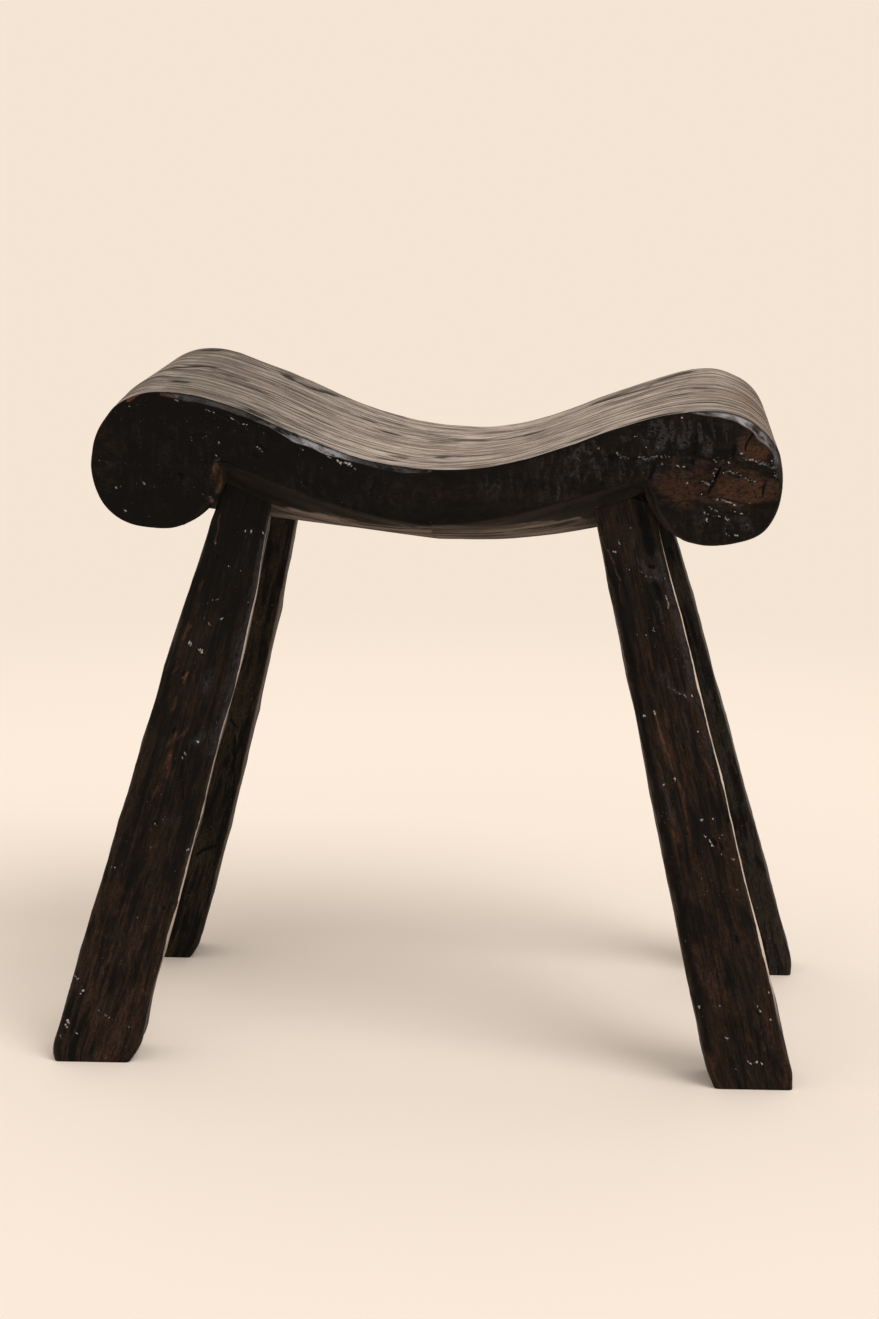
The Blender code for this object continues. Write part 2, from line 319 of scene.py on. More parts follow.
def halfOutline(side, y):
    # from the middle of the top, round the roll, to the middle of the underside: x, z, how dry and how
    # bright the wood is, how strong the highlight painted on the cut rim is, and how brown the wood is
    s = seatSize
    inset = s["depth"] / 2 - abs(y)
    front = y < 0
    radius, reach = rollRadius(side, y), rollReach(side, y)
    middle, crease, bend = underLine(side, inset)
    creaseX, creaseZ = creasePoint(side, y, crease)
    rows = []

    def addRow(x, z, inward, dry, tone, cut, glow, brown):
        length = rimSize["wobbleLength"]
        cut *= 1 + rimSize["wobble"] * noise.noise(Vector((x / length, 3.7 if front else 8.1, z / length)))
        ease = max(0, cut - inset)
        dry *= smooth(inset, cut * 0.9, cut * 1.05)
        rows.append((x + inward[0] * ease, z + inward[1] * ease, dry, tone,
                     glow * smooth(inset, cut * 0.9, cut * 0.6), brown))

    for i in range(s["topSteps"]):
        x = side * reach * i / s["topSteps"]
        tone = 1 - 0.42 * smooth(-x, 0, 160 * mm) - 0.16 * smooth(x, 110 * mm, 178 * mm)
        cut, glow = rimCut(side, x, None, front), paintedRimHighlight(side, x, None, front)
        addRow(x, topHeight(x, y), (0, -1), 1.0, tone, cut, glow, 0)
    for i in range(s["rollSteps"]):
        angle = pi / 2 - (3 * pi / 2 - crease) * i / s["rollSteps"]
        r = radius + rollFullness(side, angle, y)
        tone = (0.84 if side > 0 else 0.66) - 0.4 * smooth(-angle, radians(-30), radians(70))
        addRow(side * (reach + r * cos(angle)), s["rollBottom"] + radius + r * sin(angle),
               (-side * cos(angle), -sin(angle)), 1.0 - 0.5 * smooth(-angle, radians(60), radians(120)), tone,
               rimCut(side, 0, angle, front), paintedRimHighlight(side, 0, angle, front),
               (1.0 if side > 0 else 0.3) * smooth(angle, radians(84), radians(52)))
    for i in range(s["underSteps"] + 1):
        share = 1 - i / s["underSteps"]
        z = middle + (creaseZ - middle) * underRise(share, bend)
        edge = 5 * mm + 9 * mm * smooth(share, 0.45, 0.85)
        dry = 0.9 * smooth(inset, edge, edge + 1.5 * mm)
        tone = 0.37 - 0.16 * smooth(share, 0.5, 0.85)
        brown = (1 if inset > 0 else 0.3) * (1 - 0.6 * smooth(share, 0.25, 0.85))
        addRow(side * creaseX * share, z, (0, min(1, 8 * (1 - share))), dry, tone, rimSize["lower"], 0, brown)
    return rows


# Marks cut in the front face: each its width, its depth and its path of x and z, in millimetres
# from the seat's middle and the floor
frontMarks = {
    "cracks": [(0.9, 1.4, 167, 428, 166.3, 417, 165.2, 414), (0.9, 1.4, 183, 412, 180.7, 406, 178.4, 400),
        (0.9, 0.9, 212.7, 405, 211.6, 397), (0.9, 0.6, -153, 395, -149, 387)],
    "scoop": [(1.4, 1, 196, 421, 199, 417.4, 207, 416.2, 212, 416.3, 217.7, 413)],
    "scratches": [(0.9, 0.7, 186.8, 410.2, 196.6, 408.5, 205.5, 404.8),
        (0.9, 0.8, 176.8, 393.1, 189.5, 392, 203.2, 389.4, 214, 387.8),
        (0.9, 0.7, 174.6, 387.1, 184, 384.4, 198.7, 382.4)],
    "nicks": [(1.4, 0.9, 189.2, 374.6, 189.5, 371, 191.4, 368.9), (1.3, 0.8, 176, 383, 178, 380),
        (1.2, 0.8, -154.8, 422.6, -149, 423.4, -143, 423), (1.2, 0.9, -139.2, 420.4, -138.7, 419.5),
        (1.6, 1.1, -112, 417.2, -109.5, 414.5), (1.5, 1, -115, 411, -114.6, 410.5),
        (1.6, 0.9, -82.5, 394.4, -80.5, 392.8), (1.2, 0.8, -24.1, 385.5, -23.5, 384)],
    "rows": [(1.3, 1.1, 113, 417, 117.5, 418.4, 128.3, 416.3, 136, 418, 144.8, 417.8, 151.5, 419.9),
        (1.3, 1, 157.4, 419.6, 164, 420.3, 178.8, 416.8, 189.4, 419), (1.3, 0.8, 158, 412, 164, 410.5),
        (1.2, 0.8, 170, 402, 177, 404, 180, 402)],
    "rimNicks": [(1.3, 0.6, -165.7, 445.6, -164.5, 445), (1.1, 0.6, -139.9, 437.9, -135.1, 436.2, -130, 434),
        (1.1, 0.6, -109.7, 426.8, -105, 425)],
    "dots": [(1.2, 0.8, -169.9, 420.9, -169.6, 420.7), (1.1, 0.8, -205.1, 388.9, -204.9, 388.5),
        (1.1, 0.8, -199.4, 373.5, -198.9, 374.5), (1.1, 0.8, -187.8, 392.3, -187.4, 391.4),
        (1.1, 0.7, -140.8, 411.9, -140.6, 409.5), (0.9, 0.6, -85.3, 416.8, -84.9, 411.6)],
    "pits": [(2, 1.5, 113.7, 417, 113.8, 416.8), (1.6, 1.2, 181.4, 412.5, 181.5, 412.4),
        (1.7, 1.3, -164, 397.6, -163.9, 397.5), (1.5, 1.1, -57.8, 381.2, -57, 381)],
    "wornRim": [(3, 0.9, -139, 400, -140.5, 392, -144, 385, -148, 380.5)],
}
# a row of short upright cuts along the right of the face, in millimetres
gougeRow = {"first": 59, "gap": 5.4, "count": 17, "base": 393, "rise": 0.17, "length": 9, "lean": 1.2,
            "width": 1.5, "depth": 0.7}

# Splits and worm holes in the top: each its width across the seat, its depth and its path of x and y from the
# seat's middle
topMarks = {
    "wormHoles": [(2.6, 1, -124, 94, -120, 88), (2.2, 1.1, -113, 88, -107, 87), (2, 1, -105, 89, -100, 94),
        (2.2, 1.1, -98, 99, -92, 105)],
    "pinCluster": [(1.9, 1, -120.5, -106, -118.5, -106), (1.9, 1.1, -116.5, -107, -114.5, -108),
        (1.3, 0.8, -112.5, -103, -103, -103)],
    "leftCrown": [(2, 1, -196, -5, -184, 6, -172, 20, -166, 22),
        (1.6, 0.6, -196, -14, -176, -8, -150, 6, -140, 8), (2.2, 0.9, -176, -66, -170, -66),
        (2.6, 0.9, -184, 108, -178, 109)],
    "rightCrown": [(2.6, 1, 98, 92, 112, 86, 122, 82, 134, 80), (2.8, 0.9, 146, 104, 162, 108),
        (2, 0.9, 168, 4, 173, 3), (1.8, 0.6, 152, -16, 160, -18)],
    "frontSplits": [(1.8, 0.8, 88, -100, 104, -104), (1.8, 0.8, 120, -110, 140, -113, 156, -112)],
    "knot": [(3.6, 0.5, 4, 36, 12, 38, 20, 37), (1.5, 0.7, -12, 20, 4, 22)],
    "pinHole": [(2, 1.1, -1, -57.8, 0, -57.8), (1, 0.5, -10, -57.5, -2, -57.5)],
    "rightSlope": [(2.4, 0.9, 54, 28, 59, 29), (2, 0.8, 56, 1, 64, 3)],
    "leftSlope": [(2, 0.7, -45, 22, -38, 23), (2, 0.7, -64, 52, -58, 52), (2, 0.8, -30, -74, -24, -75),
        (1.8, 0.8, -36, -92, -28, -93), (1.4, 0.7, -100, -116, -94, -117)],
}

# Finer marks, painted glints and painted sheen of the front face: each its half width, its strength and its
# path of x and z
frontLines = {
    "glint": [(0.6, 0.7, -146.7, 441, -141.5, 438.5), (0.6, 0.7, -136.6, 438.3, -132.7, 436.8),
        (0.6, 0.6, -130.8, 435.9, -126.2, 433.8), (0.5, 0.7, -123.6, 431.9, -120.4, 431.7),
        (0.7, 1, -166.5, 445.9, -164.9, 445.3), (0.9, 0.8, -67.7, 412.5, -65.8, 411.6),
        (1, 0.8, -61.9, 410.4, -59.3, 408.5), (0.8, 1, -56.7, 408.6, -54.1, 407.4),
        (0.7, 0.8, -53.4, 406.7, -49.5, 405.2), (0.7, 0.9, -109.7, 426.8), (0.6, 0.6, -202.6, 388.9),
        (0.8, 1, -205.1, 388.1), (0.8, 1, -199.4, 373.7), (0.6, 0.8, -187.6, 392.9, -187.3, 391),
        (0.4, 0.5, -160.8, 382.6, -158.2, 376.8), (0.7, 0.9, -169.7, 420.9), (0.8, 1, -139.2, 420.1),
        (0.6, 0.9, -140.5, 412.6, -139.9, 410.7), (0.7, 0.9, -116.4, 418.5, -115.1, 417.3),
        (0.8, 1, -113.3, 417.3), (0.7, 0.9, -111.9, 416.7, -109.9, 414.2), (0.7, 0.5, -118.1, 410.6),
        (0.6, 0.5, -86.6, 418.1, -84, 416.2), (0.5, 0.4, -80, 408.5, -78.1, 408.6),
        (0.8, 0.6, -157.4, 422.5, -156.8, 420.6), (0.7, 0.5, -153.5, 422.6, -149, 423.4),
        (0.6, 0.6, -147.7, 422.8, -145.7, 422.2), (0.6, 0.6, -195.7, 413.2),
        (0.5, 0.5, -197.8, 440.8, -195.8, 440.9), (0.6, 0.4, -166.8, 433),
        (1.6, 0.4, -86.4, 395.3, -83.8, 391.5), (0.7, 0.4, -49.2, 378.9, -46.7, 378.9),
        (0.7, 0.4, -38.3, 385.1, -37.6, 382.5), (0.8, 0.6, -58.7, 383.5),
        (0.9, 1, 117.7, 419.6, 119.7, 417.7, 124.8, 416.9),
        (0.9, 0.9, 132.4, 418.1, 135.6, 416.9, 143.2, 417.8), (1, 1, 146.2, 418.3), (0.9, 0.9, 148.6, 419),
        (0.9, 0.9, 151.1, 419.3, 151.7, 420.9), (0.8, 0.7, 146.6, 414.1),
        (0.7, 0.6, 157.8, 418.8, 160.9, 419.9, 165.4, 419.7), (0.9, 0.7, 175.8, 424.4),
        (0.8, 0.6, 180, 416.9, 185.7, 417.1), (0.6, 0.5, 180.6, 419.5, 185, 419.3),
        (1, 0.8, 188.9, 418.5, 190.1, 419.8), (1, 0.9, 188.9, 415.8), (0.7, 0.8, 113.8, 416),
        (0.9, 0.8, 196.3, 422.5, 197, 420, 199.6, 418.1, 204.7, 418.3, 207.9, 416.5, 213, 416.3),
        (1.2, 0.8, 213.6, 416, 218.8, 413.6), (0.8, 0.7, 214.8, 418.6, 218, 417.4),
        (1, 0.6, 217.6, 411, 219, 408.5), (0.6, 0.6, 184.8, 409.4, 189.8, 410.8),
        (0.8, 0.7, 191.1, 409.9, 196.2, 409.1, 200.1, 406.6, 205.9, 404.9),
        (0.8, 0.8, 156.1, 413, 158.1, 411.1, 160.6, 412.5), (0.8, 0.8, 171.7, 403.8, 178.1, 402.1),
        (1, 1, 179.2, 404), (1.1, 1, 181.6, 412.5), (0.6, 0.5, 179.7, 409.8, 180.4, 407.3),
        (0.9, 0.9, 163.3, 402), (0.7, 0.7, 168.8, 395.7), (0.7, 0.7, 172.9, 394.6),
        (0.7, 0.8, 177.8, 393, 186.8, 391.1, 195.1, 389.1), (0.6, 0.4, 200.2, 389.2, 203.3, 390),
        (0.7, 0.7, 177.4, 387.2, 183.2, 384.5), (0.7, 0.5, 190.8, 385.7, 197.3, 382.7),
        (0.9, 0.8, 198.6, 383), (0.9, 0.8, 175, 383.3, 176.9, 382), (0.8, 0.7, 180.8, 381.5, 183.3, 381.6),
        (0.8, 0.8, 176.4, 379.4, 178.4, 378.2), (0.6, 0.5, 184.5, 384.2, 189.1, 379.2),
        (0.7, 0.7, 188, 374.6, 189.5, 370.1, 192.1, 368.3), (0.8, 0.6, 194.6, 369.6, 196.5, 369),
        (0.6, 0.5, 200.6, 378.2, 202.6, 377), (0.8, 0.6, 209.6, 385.3), (0.8, 0.5, 156.2, 384.6),
        (0.9, 0.5, 128.8, 430.2, 131.3, 431.2), (0.8, 0.6, 104.2, 423, 106.1, 423.1),
        (0.7, 0.5, 92.3, 416.2, 94.9, 415), (0.9, 0.5, 135.7, 424.3), (0.9, 0.5, 143.3, 424.8),
        (0.9, 0.8, 157.8, 444.7), (0.8, 0.5, 192.3, 433.3), (1, 0.8, -145.1, 383.7, -143.8, 382.5),
        (0.7, 0.5, -143.8, 393.6, -142.5, 391)],
    "black": [(1.8, 1, -163.7, 396.6), (1.6, 1, -49.9, 379.2), (1.8, 1, 113.7, 416.5), (1.5, 1, 108.4, 400.3),
        (1.2, 0.4, -172.5, 406.4, -174.5, 405.7), (0.8, 1, 168, 433.9, 167.7, 426.2, 165.6, 414.6),
        (0.8, 1, 183.4, 413.2, 181.7, 407.3, 176.4, 396.2), (0.9, 0.8, 211.6, 403.1, 211.3, 394.7),
        (0.8, 0.8, 203.4, 434.9, 199.8, 429, 198.7, 424.5), (1.4, 0.8, 192.3, 426.9, 190.7, 420.4),
        (0.8, 0.7, 188.6, 408.8, 196.3, 407.1, 202.7, 405.4),
        (1.5, 0.8, 141.5, 412.6, 139.2, 404.8, 138.8, 398.9)],
    "paintedSheen": [(2, 0.9, 139.3, 439.4, 140.1, 434.3), (2.2, 0.8, 143.1, 440.8, 145.8, 434.5, 145.5, 426.2),
        (1, 0.5, 152, 439.8, 153, 429.6), (0.9, 0.5, 163.4, 440.1, 163.2, 426.7),
        (1.5, 0.5, 169.7, 439.7, 171.3, 430.1), (1.5, 0.8, 96.6, 424.1, 99.2, 419.7),
        (1.2, 0.6, 94.1, 422.1, 88.5, 416.8), (1.3, 0.6, 101.6, 426.8, 105.5, 424.4),
        (1.6, 0.8, 119.3, 429.9, 123.8, 430), (0.9, 0.6, 81.3, 397.2, 80.9, 390.1),
        (0.9, 0.5, 74, 408, 76.1, 401.6), (1.5, 0.8, -139.2, 408.1, -141.8, 401.5),
        (1.5, 0.5, -145.7, 394.8, -147.7, 385)],
    "rust": [(1.8, 1.3, -140.5, 402.8, -138.5, 395.1, -140.5, 387.2),
        (1.4, 1.3, -145.7, 383.1, -142.5, 379.9), (1, 1.4, -190.6, 450.1, -198, 445.6),
        (0.9, 1.2, -176, 450.6, -166, 448)],
}

# Patches of the front face: finish (red wood, or painted sheen), middle, reach and strength
frontPatches = {
    "discRight": ("red", (200, 398), (24, 11), 1.15), "discLeft": ("red", (159, 402), (18, 16), 0.9),
    "discMiddle": ("red", (180, 406), (30, 18), 0.75), "discChip": ("red", (204, 427), (11, 12), 1.3),
    "leftRim": ("red", (-140, 396), (5, 11), 0.7),
    "leftOuter": ("red", (-214, 410), (10, 26), 0.25), "middle": ("red", (0, 388), (60, 16), 0.06),
    "leftRow": ("paintedSheen", (-136, 420), (40, 9), 0.22), "leftDip": ("paintedSheen", (-84, 396), (18, 14), 0.28),
    "leftDisc": ("paintedSheen", (-178, 405), (44, 36), 0.22), "leftEdge": ("paintedSheen", (-50, 390), (66, 16), 0.26),
    "discLow": ("paintedSheen", (186, 376), (34, 15), 0.7), "discHigh": ("paintedSheen", (164, 430), (32, 15), 1.8),
    "slope": ("paintedSheen", (112, 411), (50, 14), 1.15), "edge": ("paintedSheen", (60, 396), (40, 14), 0.6),
}


def gouges():
    # the row of upright cuts, each shifted by noise
    g, rows = gougeRow, []
    for i in range(g["count"]):
        shift = noise.noise(Vector((i * 1.7, 0.3, 0.9)))
        x = g["first"] + g["gap"] * (i + 0.7 * shift)
        z = g["base"] + g["rise"] * (x - g["first"]) * (1 + shift) + 4 * shift
        top = (x - g["lean"], z + g["length"] * (1 + shift))
        rows.append((g["width"] * (1 + 0.4 * shift), g["depth"], x, z, *top))
    return rows


frontMarks["gouges"] = gouges()
frontPaths, topPaths = (
    [(wide, depth, pointsOf(numbers)) for rows in marks.values() for wide, depth, *numbers in rows]
    for marks in (frontMarks, topMarks))


def pathAway(path, x, z):
    # distance of a place from a path
    nearest = 1e9
    for (ax, az), (bx, bz) in zip(path, path[1:]):
        run, rise = bx - ax, bz - az
        share = min(max(((x - ax) * run + (z - az) * rise) / (run * run + rise * rise), 0), 1)
        nearest = min(nearest, ((x - ax - share * run) ** 2 + (z - az - share * rise) ** 2) ** 0.5)
    return nearest


# each split is spread wide, and the same spread darkens the top around it: its own dark and painted shade of
# its relief
def topMarkAt(x, y):
    return max(depth * np.exp(-(pathAway(path, x, y) / (wide * 1.8)) ** 2) for wide, depth, path in topPaths)


def markAt(x, z):
    # depth of the front marks at a place, with a low burr beside each
    deepest = 0
    for wide, depth, path in frontPaths:
        away = pathAway(path, x, z) / wide
        if away < 4:
            cut = depth * (np.exp(-away ** 2) - 0.3 * np.exp(-(away - 1.9) ** 2))
            deepest = cut if abs(cut) > abs(deepest) else deepest
    return deepest * mm


def patchAt(finish, x, z):
    strength = 0
    for kind, (middleX, middleZ), (reachX, reachZ), share in frontPatches.values():
        if kind == finish:
            away = (((x - middleX) / reachX) ** 2 + ((z - middleZ) / reachZ) ** 2) ** 0.5
            strength = max(strength, share * smooth(away, 1.25, 0.55))
    return strength


def seatRings():
    # places of the outline from front to back, close together near the faces
    half = seatSize["depth"] / 2
    insets = [value * mm for value in seatSize["firstRings"]]
    last, count = insets[-1], round((half - insets[-1]) / seatSize["ringGap"])
    insets += [last + (half - last) * (i + 1) / count for i in range(count)]
    return [inset - half for inset in insets] + [half - inset for inset in reversed(insets[:-1])]


def buildSeatBase():
    steps, rolls, unders = seatSize["topSteps"], seatSize["rollSteps"], seatSize["underSteps"]
    around = 2 * (steps + rolls + unders)
    places = seatRings()
    rows, faces = [], []  # a row is a point, its place in the grain, dryness, tone, painted rim highlight and brownness
    for y in places:
        halves = {}
        for side in (1, -1):
            line = halfOutline(side, y)
            gaps = [((a[0] - b[0]) ** 2 + (a[1] - b[1]) ** 2) ** 0.5 for a, b in zip(line, line[1:])]
            halves[side] = [(x, y, z, side * length, y, 0, *finish)
                            for (x, z, *finish), length in zip(line, np.cumsum([0] + gaps))]
        rows += halves[1] + halves[-1][-2:0:-1]
    for ring in range(len(places) - 1):
        for i in range(around):
            j = (i + 1) % around
            a, b = ring * around, (ring + 1) * around
            faces.append((a + i, b + i, b + j, a + j))

    # each end face runs in from its outline to a line between the roll centres
    for first, y, levels, flip in ((0, places[0], seatSize["frontLevels"], True),
                                   (len(places) - 1, places[-1], seatSize["backLevels"], False)):
        outline = rows[first * around:(first + 1) * around]
        spine = []
        for i in range(around):
            side = 1 if i <= around // 2 else -1
            k = i if side > 0 else around - i
            centre = (side * rollReach(side, y), seatSize["rollBottom"] + rollRadius(side, y))
            if steps <= k <= steps + rolls:
                spine.append(centre)
                continue
            share = k / steps if k < steps else (steps + rolls + unders - k) / unders
            crease = creasePoint(side, y, 0)
            x = side * share * (rollReach(side, y) + crease[0]) / 2
            z = (topHeight(side * share * rollReach(side, y), y)
                 + edgeZ + (crease[1] - edgeZ) * share ** seatSize["faceBend"]) / 2
            blend = smooth(share, 0.72, 1)
            spine.append((x + (centre[0] - x) * blend, z + (centre[1] - z) * blend))
        previous = [first * around + i for i in range(around)]
        for level in range(1, levels + 1):
            share = level / levels
            current = [len(rows) + i for i in range(around)]
            for row, (spineX, spineZ) in zip(outline, spine):
                x, z = row[0] + (spineX - row[0]) * share, row[2] + (spineZ - row[2]) * share
                rows.append((x, y, z, x, z, y, 0, 1, 0, 0))
            for i in range(around):
                j = (i + 1) % around
                quad = (previous[i], previous[j], current[j], current[i])
                faces.append(quad if flip else tuple(reversed(quad)))
            previous = current

    front = -seatSize["depth"] / 2
    moved, red, paintedSheen, cracks = [], [], [], []
    for x, y, z, *_ in rows:
        near = smooth(y - front, 5 * mm, 0.8 * mm)
        depth = markAt(x / mm, z / mm) if near else 0
        inTop = z > topHeight(x, y) - 2 * mm and abs(y) < -front - 1 * mm
        split = topMarkAt(x / mm, y / mm) * mm if inTop else 0
        moved.append(Vector((x, y + near * depth, z - split)) + seatMiddle)
        red.append(near and near * patchAt("red", x / mm, z / mm))
        paintedSheen.append(near and near * patchAt("paintedSheen", x / mm, z / mm))
        # the cuts and splits darken by their depth: their own dark and painted shade in their hollows
        cracks.append(near * max(0, depth) / mm + split / mm)
    mesh = bpy.data.meshes.new("seatBase")
    mesh.from_pydata(moved, [], faces)
    table = np.array(rows)
    grain = mesh.attributes.new("grainPlace", "FLOAT_VECTOR", "POINT")
    grain.data.foreach_set("vector", table[:, 3:6].ravel())
    for name, values in {"dryness": table[:, 6], "tone": table[:, 7], "paintedRimHighlight": table[:, 8],
                         "brownWear": table[:, 9], "redWear": red, "paintedSheen": paintedSheen, "crackDarkAndShade": cracks}.items():
        mesh.attributes.new(name, "FLOAT", "POINT").data.foreach_set("value", values)
    return mesh


# Geometry trees

def newGroup(name, inputs, output="Geometry"):
    # a tree with its named inputs as fields, and the socket of its one output
    tree = bpy.data.node_groups.new(name, "GeometryNodeTree")
    for kind, labels in inputs.items():
        for label in labels:
            tree.interface.new_socket(name=label, in_out="INPUT", socket_type="NodeSocket" + kind)
    tree.interface.new_socket(name="Result", in_out="OUTPUT", socket_type="NodeSocket" + output)
    given, result = tree.nodes.new("NodeGroupInput"), tree.nodes.new("NodeGroupOutput")
    value = {socket.name: Field(tree, socket) for socket in given.outputs if socket.name}
    return tree, value, result.inputs[0]


def useGroup(tree, group, inputs):
    return addNode(tree, "GeometryNodeGroup", inputs, node_tree=group).outputs[0]


def stored(tree, geometry, name, value, kind="FLOAT"):
    return addNode(tree, "GeometryNodeStoreNamedAttribute",
                   {"Geometry": geometry, "Name": name, "Value": value}, data_type=kind).outputs[0]


def named(tree, name, kind="FLOAT"):
    return addNode(tree, "GeometryNodeInputNamedAttribute", {"Name": name}, data_type=kind).outputs[0]


def positions(tree):
    return axes(tree, tree.nodes.new("GeometryNodeInputPosition").outputs[0])


def runTree(name, base, tree, values):
    # the tree's result as a plain mesh on an object of its own
    modifier = base.modifiers.new(tree.name, "NODES")
    modifier.node_group = tree
    for item in tree.interface.items_tree:
        if item.item_type == "SOCKET" and item.in_out == "INPUT" and item.name in values:
            modifier[item.identifier] = values[item.name]
    graph = bpy.context.evaluated_depsgraph_get()
    mesh = bpy.data.meshes.new_from_object(base.evaluated_get(graph), preserve_all_data_layers=True,
                                           depsgraph=graph)
    mesh.name = name
    base.modifiers.remove(modifier)
    bpy.data.objects.remove(base)
    return linked(name, mesh)


def linked(name, data):
    piece = bpy.data.objects.new(name, data)
    bpy.context.scene.collection.objects.link(piece)
    return piece


def finishTree(tree, geometry, material):
    # smooth shading, real geometry and one material, then the way out
    shaded = addNode(tree, "GeometryNodeSetShadeSmooth", {"Geometry": geometry})
    real = addNode(tree, "GeometryNodeRealizeInstances", {"Geometry": shaded.outputs[0]})
    painted = addNode(tree, "GeometryNodeSetMaterial", {"Geometry": real.outputs[0], "Material": material})
    return painted.outputs[0]


# Hewing: shallow scalloped tool cuts, a slow waviness and scattered nicks, one node group for seat and legs

def buildHewing():
    tree, value, result = newGroup("hewing", {
        "Geometry": ["Geometry"], "Vector": ["Grain place", "Shift"],
        "Float": ["Cut length", "Cut width", "Cut depth", "Waviness", "Nick depth", "Nick size",
                  "Nick share"]})
    place = vectorNode(tree, "ADD", value["Grain place"], value["Shift"])
    # cuts: cells stretched along the grain, lowest in their middles
    bend = noiseField(tree, place, (30, 60, 60), 2.0) - 0.5
    x, y, z = axes(tree, place)
    cuts = vectorField(tree, x / value["Cut length"], y / value["Cut width"] + bend, z / value["Cut width"])
    away, tone = cellField(tree, cuts, (1, 1, 1))
    scallop = (away.least(1.0) ** 2.0 - 0.35) * value["Cut depth"]
    wave = (noiseField(tree, place, (14, 26, 26), 2.0) - 0.5) * value["Waviness"]
    # nicks: a few cells of a finer pattern
    fine = vectorField(tree, x / value["Nick size"] / 1.7, y / value["Nick size"], z / value["Nick size"])
    close, pick = cellField(tree, fine, (0.25, 0.25, 0.25), (5, 3, 1))
    nick = close.rise(0.30, 0.06) * pick.rise(1.0 - value["Nick share"], 1.02 - value["Nick share"])
    height = scallop + wave - nick * value["Nick depth"]
    offset = scaled(tree, tree.nodes.new("GeometryNodeInputNormal").outputs[0], height)
    # the material reads each cut's own number, for a shade painted differently on each facet
    toned = stored(tree, value["Geometry"], "cutTone", tone)
    moved = addNode(tree, "GeometryNodeSetPosition", {"Geometry": toned, "Offset": offset})
    plug(tree, result, moved.outputs[0])
    return tree


hewing = buildHewing()


# Wood finishes

def newMaterial(name):
    material = bpy.data.materials.new(name)
    material.use_nodes = True
    tree = material.node_tree
    return material, tree, tree.nodes["Principled BSDF"]


def mixColour(tree, share, first, second):
    node = addNode(tree, "ShaderNodeMix", data_type="RGBA")
    plug(tree, node.inputs[0], share)
    for socket, value in ((node.inputs[6], first), (node.inputs[7], second)):
        plug(tree, socket, (*value, 1) if isinstance(value, tuple) else value)
    return node.outputs[2]


def attribute(tree, name, output="Fac"):
    return Field(tree, addNode(tree, "ShaderNodeAttribute", attribute_name=name).outputs[output])


def waxedLook(tree, place, tone, brownAt, redAt, paintedSheenAt, lines, linesAt):
    # near-black waxed wood, with masks for where it is browner and redder and where sheen is painted, and the
    # fields of its lines: colour, roughness and height for one shader
    streak = noiseField(tree, place, tone["streak"], 6.0, 0.68, 0.5)
    patch = noiseField(tree, place, tone["patch"], 4.0, 0.62)
    fibre = noiseField(tree, place, tone["fibre"], 4.0, 0.7)
    stroke = noiseField(tree, place, tone["stroke"], 3.0, 0.6, 0.6)
    grit = noiseField(tree, place, tone["grit"], 3.0, 0.65)
    on = {kind: field * linesAt for kind, field in lines.items()}
    brown = (streak.rise(0.44, 0.60) * 0.8 + patch.rise(0.46, 0.62) * 0.6) * brownAt
    colour = mixColour(tree, brown.least(1.0), tone["dark"], tone["brown"])
    red = (patch * 0.7 + streak + redAt * 0.3).rise(0.82, 1.22) * redAt
    colour = mixColour(tree, red.least(1.0), colour, tone["red"])
    # painted sheen: blue-grey laid into the colour in upright strokes, where the wax would catch the light
    paintedSheen = (stroke + on["paintedSheen"] * 0.25).rise(0.46, 0.68) * (paintedSheenAt + on["paintedSheen"] * 1.3)
    colour = mixColour(tree, paintedSheen.least(1.0) * fibre.rise(0.40, 0.58), colour, tone["paintedSheen"])
    rust = (streak * 0.6 + fibre * 0.4 + on["rust"] * 0.25).rise(0.54, 0.72) * on["rust"]
    colour = mixColour(tree, rust, colour, tone["rust"])
    colour = mixColour(tree, fibre.rise(0.46, 0.62) * 0.65, colour, tone["dark"])
    colour = mixColour(tree, grit.rise(0.52, 0.40) * 0.4, colour, tone["dark"])
    # each hewn facet darkened by its own amount: painted shade, standing for facets that catch the light
    # differently
    colour = mixColour(tree, attribute(tree, "cutTone") * 0.3, colour, tone["dark"])
    colour = mixColour(tree, (grit * 0.5 + on["black"]).rise(0.55, 0.95), colour, tone["black"])
    # painted glints: sparse bright specks of painted highlight everywhere, thick along their lines
    cluster = noiseField(tree, place, (26, 40, 40), 2.0, 0.5, 0.0, (3, 1, 4)).rise(0.46, 0.66)
    paintedGlint = (grit + cluster * 0.035 + on["glint"] * 0.33).rise(0.705, 0.84)
    colour = mixColour(tree, paintedGlint * tone["paintedGlintShare"], colour, tone["paintedGlint"])
    pits, hole = cellField(tree, place, tone["pits"])
    pit = pits.rise(0.34, 0.10) * hole.rise(0.78, 0.84)
    return colour, 0.36 + patch * 0.3 - paintedGlint * 0.1, streak * 0.45 + fibre * 0.45 + stroke * 0.5 - pit * 0.9


def finishShader(tree, shader, colour, rough, height, bumpDistance, bumpStrength, specular):
    plug(tree, shader.inputs["Base Color"], colour)
    plug(tree, shader.inputs["Roughness"], rough)
    bump = addNode(tree, "ShaderNodeBump",
                   {"Height": height, "Distance": bumpDistance, "Strength": bumpStrength})
    plug(tree, shader.inputs["Normal"], bump.outputs[0])
    shader.inputs["Specular IOR Level"].default_value = specular


